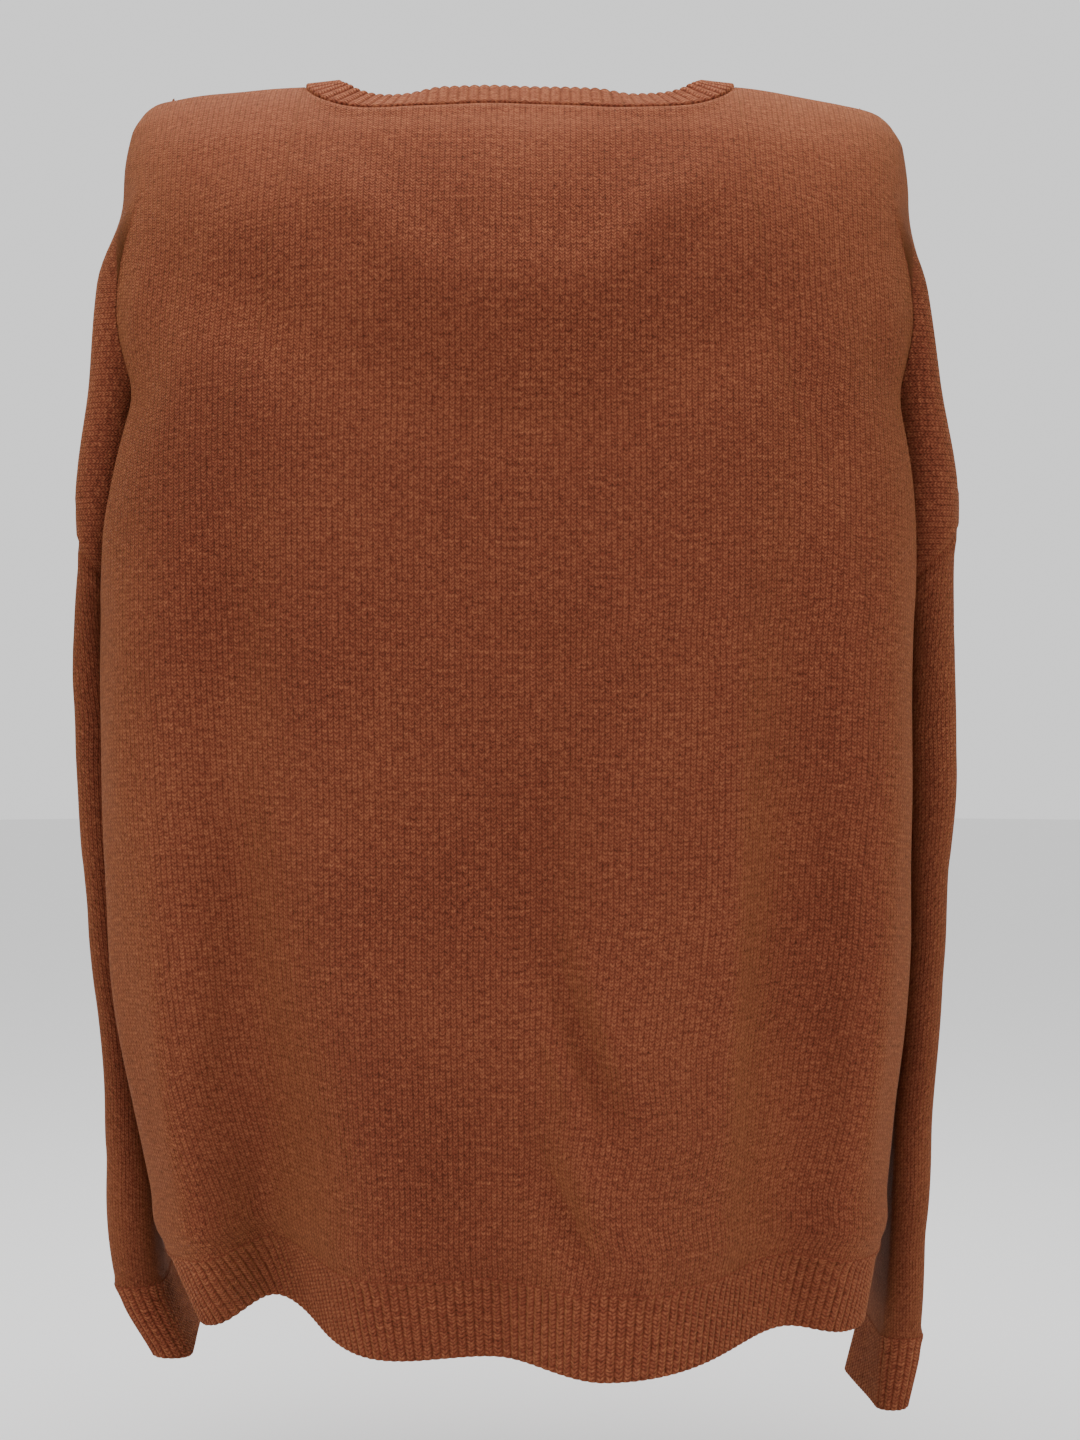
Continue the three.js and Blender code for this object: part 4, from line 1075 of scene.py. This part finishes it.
@functools.cache
def linking_tree():
    """A node tree that sets a stitch of linking yarn at even steps along a seam line."""
    tree = bpy.data.node_groups.new("linking_stitches", "GeometryNodeTree")
    sockets = {"Seam": "Geometry", "Spacing": "Float", "Length": "Float", "Width": "Float", "Seed": "Int"}
    for name, kind in sockets.items():
        tree.interface.new_socket(name, in_out="INPUT", socket_type=f"NodeSocket{kind}")
    tree.interface.new_socket("Stitches", in_out="OUTPUT", socket_type="NodeSocketGeometry")
    nodes = Nodes(tree)
    asked = nodes.add("NodeGroupInput")
    seam, spacing, length, width, seed = (Value(nodes, asked.socket.node.outputs[name]) for name in sockets)
    line = nodes.add("GeometryNodeMeshToCurve", {}, {"Mesh": seam})
    line = nodes.add("GeometryNodeResampleCurve", {"mode": "LENGTH"}, {"Curve": line, "Length": spacing})
    along = nodes.add("GeometryNodeInputTangent")
    out = nodes.add("GeometryNodeInputNamedAttribute", {"data_type": "FLOAT_VECTOR"}, {"Name": "out"})
    turn = nodes.add("FunctionNodeAlignRotationToVector", {"axis": "X"}, {"Vector": along})
    upright = {"axis": "Z", "pivot_axis": "X"}
    turn = nodes.add("FunctionNodeAlignRotationToVector", upright, {"Rotation": turn, "Vector": out})
    leaning = {"Min": (-0.1, -0.1, 0.22), "Max": (0.1, 0.1, 0.48), "Seed": seed}
    lean = nodes.add("FunctionNodeRandomValue", {"data_type": "FLOAT_VECTOR"}, leaning)
    local = {"rotation_space": "LOCAL"}
    turn = nodes.add("FunctionNodeRotateRotation", local, {"Rotation": turn, "Rotate By": lean})
    size = nodes.add("ShaderNodeCombineXYZ", {}, {"X": length, "Y": width, "Z": width})
    strand = nodes.add("GeometryNodeMeshUVSphere", {}, {"Segments": 7, "Rings": 5, "Radius": 0.5})
    placing = {"Points": line, "Instance": strand, "Rotation": turn, "Scale": size}
    stitches = nodes.add("GeometryNodeInstanceOnPoints", {}, placing)
    whole = nodes.add("GeometryNodeRealizeInstances", {}, {"Geometry": stitches})
    whole = nodes.add("GeometryNodeSetMaterial", {}, {"Geometry": whole, "Material": yarn_finish()})
    nodes.add("NodeGroupOutput", {}, {"Stitches": whole})
    return tree


LINK_APART = 0.4  # points of a seam that lie closer together are left out
LINK_EVENED = 3  # how many times the lean of the stitches is evened out
LINK_SUNK = 0.2  # how deep the line of the stitches lies in the cloth
LINK_OVERLAP = 1.15  # length of a stitch in linking steps


def linking(name, lines, sizes):
    """Links a seam with yarn. lines: points, outward normals, and whether the line closes on itself."""
    verts, outs, edges = [], [], []
    for points, normals, closed in lines:
        apart = np.linalg.norm(np.diff(points, axis=0), axis=1)
        kept = np.concatenate([[True], apart > LINK_APART])
        points, normals = points[kept], normals[kept]
        for _ in range(LINK_EVENED):
            normals[1:-1] = unit(normals[:-2] + normals[1:-1] + normals[2:])
        first, count = len(verts), len(points)
        verts += ((points - LINK_SUNK * normals) * MM).tolist()
        outs += normals.tolist()
        edges += [(first + k, first + k + 1) for k in range(count - 1)]
        edges += [(first + count - 1, first)] * closed
    mesh = bpy.data.meshes.new(name)
    mesh.from_pydata(verts, edges, [])
    out = mesh.attributes.new("out", "FLOAT_VECTOR", "POINT")
    out.data.foreach_set("vector", np.array(outs, np.float32).ravel())
    piece = bpy.data.objects.new(name, mesh)
    bpy.context.scene.collection.objects.link(piece)
    tree = linking_tree()
    modifier = piece.modifiers.new("linking", "NODES")
    modifier.node_group = tree
    asked = {"Spacing": sizes.link, "Length": sizes.link * LINK_OVERLAP, "Width": sizes.yarn, "Seed": 7}
    for socket in tree.interface.items_tree:
        if socket.in_out == "INPUT" and socket.name in asked:
            modifier[socket.identifier] = asked[socket.name]
    drawn = piece.evaluated_get(bpy.context.evaluated_depsgraph_get())
    stitches = bpy.data.meshes.new_from_object(drawn)
    piece.modifiers.clear()
    piece.data = stitches
    stitches.polygons.foreach_set("use_smooth", [True] * len(stitches.polygons))
    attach(piece, "root")


def seam_lines():
    """The lines of every seam by name: shoulders, sides, armholes, hem, cuffs and neck."""
    back, seam_row = panel(-1)
    lines = {name: [] for name in ("shoulder", "side", "armhole", "hem", "cuff", "neck")}
    for side in (-1, 1):
        over = columns_out(side, NECK_FINE + 2, MIDDLE)
        rows = np.concatenate([np.zeros(len(over), int), np.arange(1, UNDERARM_ROW + 1)])
        columns = np.concatenate([over, np.full(UNDERARM_ROW, over[-1])])
        lines["shoulder"].append((*back.at((rows, columns)), False))
        down = slice(UNDERARM_ROW + 1, seam_row + 1), MIDDLE + side * BODY_FINE
        lines["side"].append((*back.at(down), False))
        net, cuff_row = sleeve(side)
        lines["armhole"].append((*net.at(0), True))
        lines["cuff"].append((*net.at(cuff_row), True))
    for face in (-1, 1):
        net, row = panel(face)
        lines["hem"].append((*net.at((row, BODY_ONLY)), False))
    ground, normals = neck_ground()
    # One line behind and one before, both ending short of the shoulder seams.
    for part in (slice(2, 2 * NECK_FINE - 1), slice(2 * NECK_FINE + 2, -1)):
        lines["neck"].append((ground[0, part], normals[0, part], False))
    return lines


# ---- Floor, lights and camera ----


FLOOR_RADIUS, FLOOR_SIDES = 9.0, 64
CLOUDING = 0.985  # the darkest part of the floor against its colour
CAMERA_ACROSS, CAMERA_UP = 0.0103, -0.334  # the camera's place beside the middle and below the shoulders
SENSOR = 36


def floor_finish():
    """A pale floor with the faintest clouding."""
    floor = bpy.context.scene.pullover_studio.floor
    finish = Finish("pale_floor")
    place = finish.add("ShaderNodeTexCoord", {}, {}, 3)
    cloud = finish.noise(place, 1.3, 3)
    clouded = [CLOUDING * part for part in floor]
    colour = finish.blend(cloud, (*clouded, 1), (*floor, 1))
    return finish.close(colour, 0.85, finish.noise(place, 260, 2), 0.0001, 0.0, (1, 1, 1, 1))


def lay_floor(height):
    """A round floor whose rim is far enough off to stay out of every view."""
    verts = [(0, 0, height)]
    for k in range(FLOOR_SIDES):
        turn = 2 * math.pi * k / FLOOR_SIDES
        verts.append((FLOOR_RADIUS * math.cos(turn), FLOOR_RADIUS * math.sin(turn), height))
    mesh = bpy.data.meshes.new("floor")
    mesh.from_pydata(verts, [], [(0, 1 + k, 1 + (k + 1) % FLOOR_SIDES) for k in range(FLOOR_SIDES)])
    mesh.materials.append(floor_finish())
    floor = bpy.data.objects.new("floor", mesh)
    bpy.context.scene.collection.objects.link(floor)


def light_studio(middle, studio):
    """Lights the garment softly from above, both sides, the front and all round."""
    world = bpy.data.worlds.new("studio_air")
    world.use_nodes = True
    air = world.node_tree.nodes["Background"].inputs
    air["Color"].default_value, air["Strength"].default_value = (1, 1, 1, 1), studio.air
    bpy.context.scene.world = world
    # Name, place from the middle of the garment, width, and power.
    places = (
        ("top_light", (-0.1, 0.1, 1.2), 1.0, studio.top_power),
        ("left_light", (-1.6, -0.42, 0.25), 0.6, studio.left_power),
        ("right_light", (1.6, -0.42, 0.25), 0.6, studio.right_power),
        ("fill_light", (-0.5, -2.2, 0.5), 1.2, studio.fill_power),
    )
    for name, offset, size, power in places:
        lamp = bpy.data.lights.new(name, "AREA")
        lamp.shape, lamp.size, lamp.energy = "DISK", size, power
        holder = bpy.data.objects.new(name, lamp)
        holder.location = [m + o for m, o in zip(middle, offset)]
        aim = Vector(middle) - holder.location
        holder.rotation_euler = aim.to_track_quat("-Z", "Y").to_euler()
        bpy.context.scene.collection.objects.link(holder)


def place_camera(studio):
    """Sets the camera behind the garment, level with its middle."""
    camera = bpy.data.cameras.new("camera")
    camera.lens, camera.sensor_width, camera.sensor_fit = studio.lens, SENSOR, "AUTO"
    camera.clip_start, camera.clip_end = 0.05, 60
    holder = bpy.data.objects.new("camera", camera)
    holder.location = (CAMERA_ACROSS, -studio.distance, CAMERA_UP)
    holder.rotation_euler = (math.pi / 2, 0, 0)
    bpy.context.scene.collection.objects.link(holder)
    bpy.context.scene.camera = holder


# ---- Settings ----


class PulloverCloth(bpy.types.PropertyGroup):
    """The knitted cloth and its colours."""

    thickness: FloatProperty(
        name="Cloth thickness", description="Thickness of the jersey and of the bands",
        default=0.0022, unit="LENGTH",
    )
    rib_pitch: FloatProperty(
        name="Rib pitch", description="Distance from rib to rib on the bands",
        default=0.0044, unit="LENGTH",
    )
    rib_depth: FloatProperty(
        name="Rib depth", description="How far a rib stands out of its band",
        default=0.0007, unit="LENGTH",
    )
    wale: FloatProperty(
        name="Wale width", description="Width of one column of stitches",
        default=0.0028, unit="LENGTH",
    )
    course: FloatProperty(
        name="Course height", description="Height of one row of stitches",
        default=0.0019, unit="LENGTH",
    )
    link: FloatProperty(
        name="Linking step", description="Distance between the linking stitches of a seam",
        default=0.0027, unit="LENGTH",
    )
    yarn: FloatProperty(
        name="Yarn", description="Thickness of the linking yarn", default=0.0011, unit="LENGTH"
    )
    sheen: FloatProperty(
        name="Fuzz strength", description="Strength of the wool's soft sheen",
        default=0.24, min=0, max=1, subtype="FACTOR",
    )
    colour: FloatVectorProperty(
        name="Wool", description="Main colour of the wool",
        default=(0.186, 0.0445, 0.0228), size=3, subtype="COLOR",
    )
    # Dark stop of the wool's colours: painted shade in the gaps between the stitches, and the darker fibres
    # of the yarn.
    shade_and_dark_fibre: FloatVectorProperty(
        name="Shade", description="Colour deep between the stitches",
        default=(0.046, 0.009, 0.0045), size=3, subtype="COLOR",
    )
    # Light stop of the wool's colours: painted highlight on the raised legs of the stitches, and the paler
    # fibres and flecks of the yarn.
    light: FloatVectorProperty(
        name="Lustre", description="Colour of the raised fibres",
        default=(0.375, 0.134, 0.062), size=3, subtype="COLOR",
    )
    fuzz: FloatVectorProperty(
        name="Fuzz colour", description="Colour of the fine hairs against the light",
        default=(0.58, 0.34, 0.08), size=3, subtype="COLOR",
    )


class PulloverStudio(bpy.types.PropertyGroup):
    """The floor, the lights and the camera."""

    floor: FloatVectorProperty(
        name="Floor", description="Colour of the floor",
        default=(0.85, 0.85, 0.85), size=3, subtype="COLOR",
    )
    floor_drop: FloatProperty(
        name="Floor drop", description="How far the floor lies below the hem",
        default=0.06, unit="LENGTH",
    )
    air: FloatProperty(
        name="Surrounding light", description="Strength of the light from all round",
        default=1.1, min=0,
    )
    top_power: FloatProperty(
        name="Top light", description="Power of the light overhead", default=21, unit="POWER"
    )
    left_power: FloatProperty(
        name="Left light", description="Power of the light at the left", default=1.1, unit="POWER"
    )
    right_power: FloatProperty(
        name="Right light", description="Power of the light at the right", default=1.9, unit="POWER"
    )
    fill_power: FloatProperty(
        name="Fill light", description="Power of the light in front", default=0.5, unit="POWER"
    )
    lens: FloatProperty(name="Lens", description="Focal length", default=57.3, unit="CAMERA")
    distance: FloatProperty(
        name="Camera distance", description="From the middle of the garment to the camera",
        default=1.215, unit="LENGTH",
    )


# ---- Operators ----


class PULLOVER_OT_stage(bpy.types.Operator):
    """Lays the floor and sets the lights and the camera"""

    bl_idname = "pullover.stage"
    bl_label = "Stage"

    def execute(self, context):
        studio = context.scene.pullover_studio
        low, high = CAD_BOX
        middle = [(a + b) / 2 for a, b in zip(low, high)]
        lay_floor(low[2] - studio.floor_drop)
        light_studio(middle, studio)
        place_camera(studio)
        return {"FINISHED"}


class PULLOVER_OT_body(bpy.types.Operator):
    """Knits the back and the front"""

    bl_idname = "pullover.body"
    bl_label = "Back and front"

    def execute(self, context):
        thick = context.scene.pullover_cloth.thickness / MM
        for name, face, flat, area in PANEL_CUTS:
            net, seam_row = panel(face)
            rows = slice(0, seam_row + 1)
            outer, normals = net.at(rows)
            inner = keep_apart(outer - normals * thick, face, net.parting[rows])
            piece = shell(f"{name}_jersey", outer, inner, net.stitch[rows], normals)
            settle(piece, name, jersey_finish(False))
        return {"FINISHED"}


class PULLOVER_OT_sleeves(bpy.types.Operator):
    """Knits the two sleeves"""

    bl_idname = "pullover.sleeves"
    bl_label = "Sleeves"

    def execute(self, context):
        thick = context.scene.pullover_cloth.thickness / MM
        for side in (-1, 1):
            net, cuff_row = sleeve(side)
            rows = slice(0, cuff_row + 1)
            outer, normals = net.at(rows)
            name = f"sleeve_{SIDE_NAMES[side]}"
            inner, stitch = outer - normals * thick, net.stitch[rows]
            piece = shell(f"{name}_jersey", outer, inner, stitch, normals, True, SLEEVE_ROUND)
            settle(piece, name, jersey_finish(False))
        return {"FINISHED"}


class PULLOVER_OT_bands(bpy.types.Operator):
    """Knits the ribbed hem and cuffs"""

    bl_idname = "pullover.bands"
    bl_label = "Hem and cuffs"

    def execute(self, context):
        sizes = context.scene.pullover_cloth
        for name, face in (("hem_back", -1), ("hem_front", 1)):
            net, seam_row = panel(face)
            piece = rib_band(f"{name}_rib", net.at((slice(seam_row, None), BODY_ONLY)), sizes)
            settle(piece, name, jersey_finish(True))
        for side in (-1, 1):
            net, cuff_row = sleeve(side)
            name = f"cuff_{SIDE_NAMES[side]}"
            piece = rib_band(f"{name}_rib", net.at(slice(cuff_row, None)), sizes, True)
            settle(piece, name, jersey_finish(True))
        return {"FINISHED"}


class PULLOVER_OT_neckband(bpy.types.Operator):
    """Knits the ribbed neckband"""

    bl_idname = "pullover.neckband"
    bl_label = "Neckband"

    def execute(self, context):
        sizes = context.scene.pullover_cloth
        piece = rib_band("neckband_rib", neck_ground(), sizes, True, spread=1.18, scallop=0.9, roll=1.5)
        settle(piece, "neckband", jersey_finish(True))
        return {"FINISHED"}


class PULLOVER_OT_linking(bpy.types.Operator):
    """Links the pieces together along their seams"""

    bl_idname = "pullover.linking"
    bl_label = "Linking"

    def execute(self, context):
        for name, lines in seam_lines().items():
            linking(f"{name}_linking", lines, context.scene.pullover_cloth)
        return {"FINISHED"}


class PULLOVER_PT_sidebar(bpy.types.Panel):
    """Lists the pieces and their sizes"""

    bl_idname = "PULLOVER_PT_sidebar"
    bl_label = "Pullover"
    bl_space_type = "VIEW_3D"
    bl_region_type = "UI"
    bl_category = "Pullover"

    def draw(self, context):
        for group in (context.scene.pullover_cloth, context.scene.pullover_studio):
            column = self.layout.column()
            for name in group.__annotations__:
                column.prop(group, name)
        for step in STEPS:
            self.layout.operator(step.bl_idname)


STEPS = (
    PULLOVER_OT_stage,
    PULLOVER_OT_body,
    PULLOVER_OT_sleeves,
    PULLOVER_OT_bands,
    PULLOVER_OT_neckband,
    PULLOVER_OT_linking,
)
CLASSES = (PulloverCloth, PulloverStudio, *STEPS, PULLOVER_PT_sidebar)


def register():
    for each in CLASSES:
        bpy.utils.register_class(each)
    bpy.types.Scene.pullover_cloth = PointerProperty(type=PulloverCloth)
    bpy.types.Scene.pullover_studio = PointerProperty(type=PulloverStudio)


def unregister():
    del bpy.types.Scene.pullover_cloth
    del bpy.types.Scene.pullover_studio
    for each in reversed(CLASSES):
        bpy.utils.unregister_class(each)


def main():
    register()
    bpy.ops.pullover.stage()
    bpy.ops.pullover.body()
    bpy.ops.pullover.sleeves()
    bpy.ops.pullover.bands()
    bpy.ops.pullover.neckband()
    bpy.ops.pullover.linking()


if __name__ == "__main__":
    main()
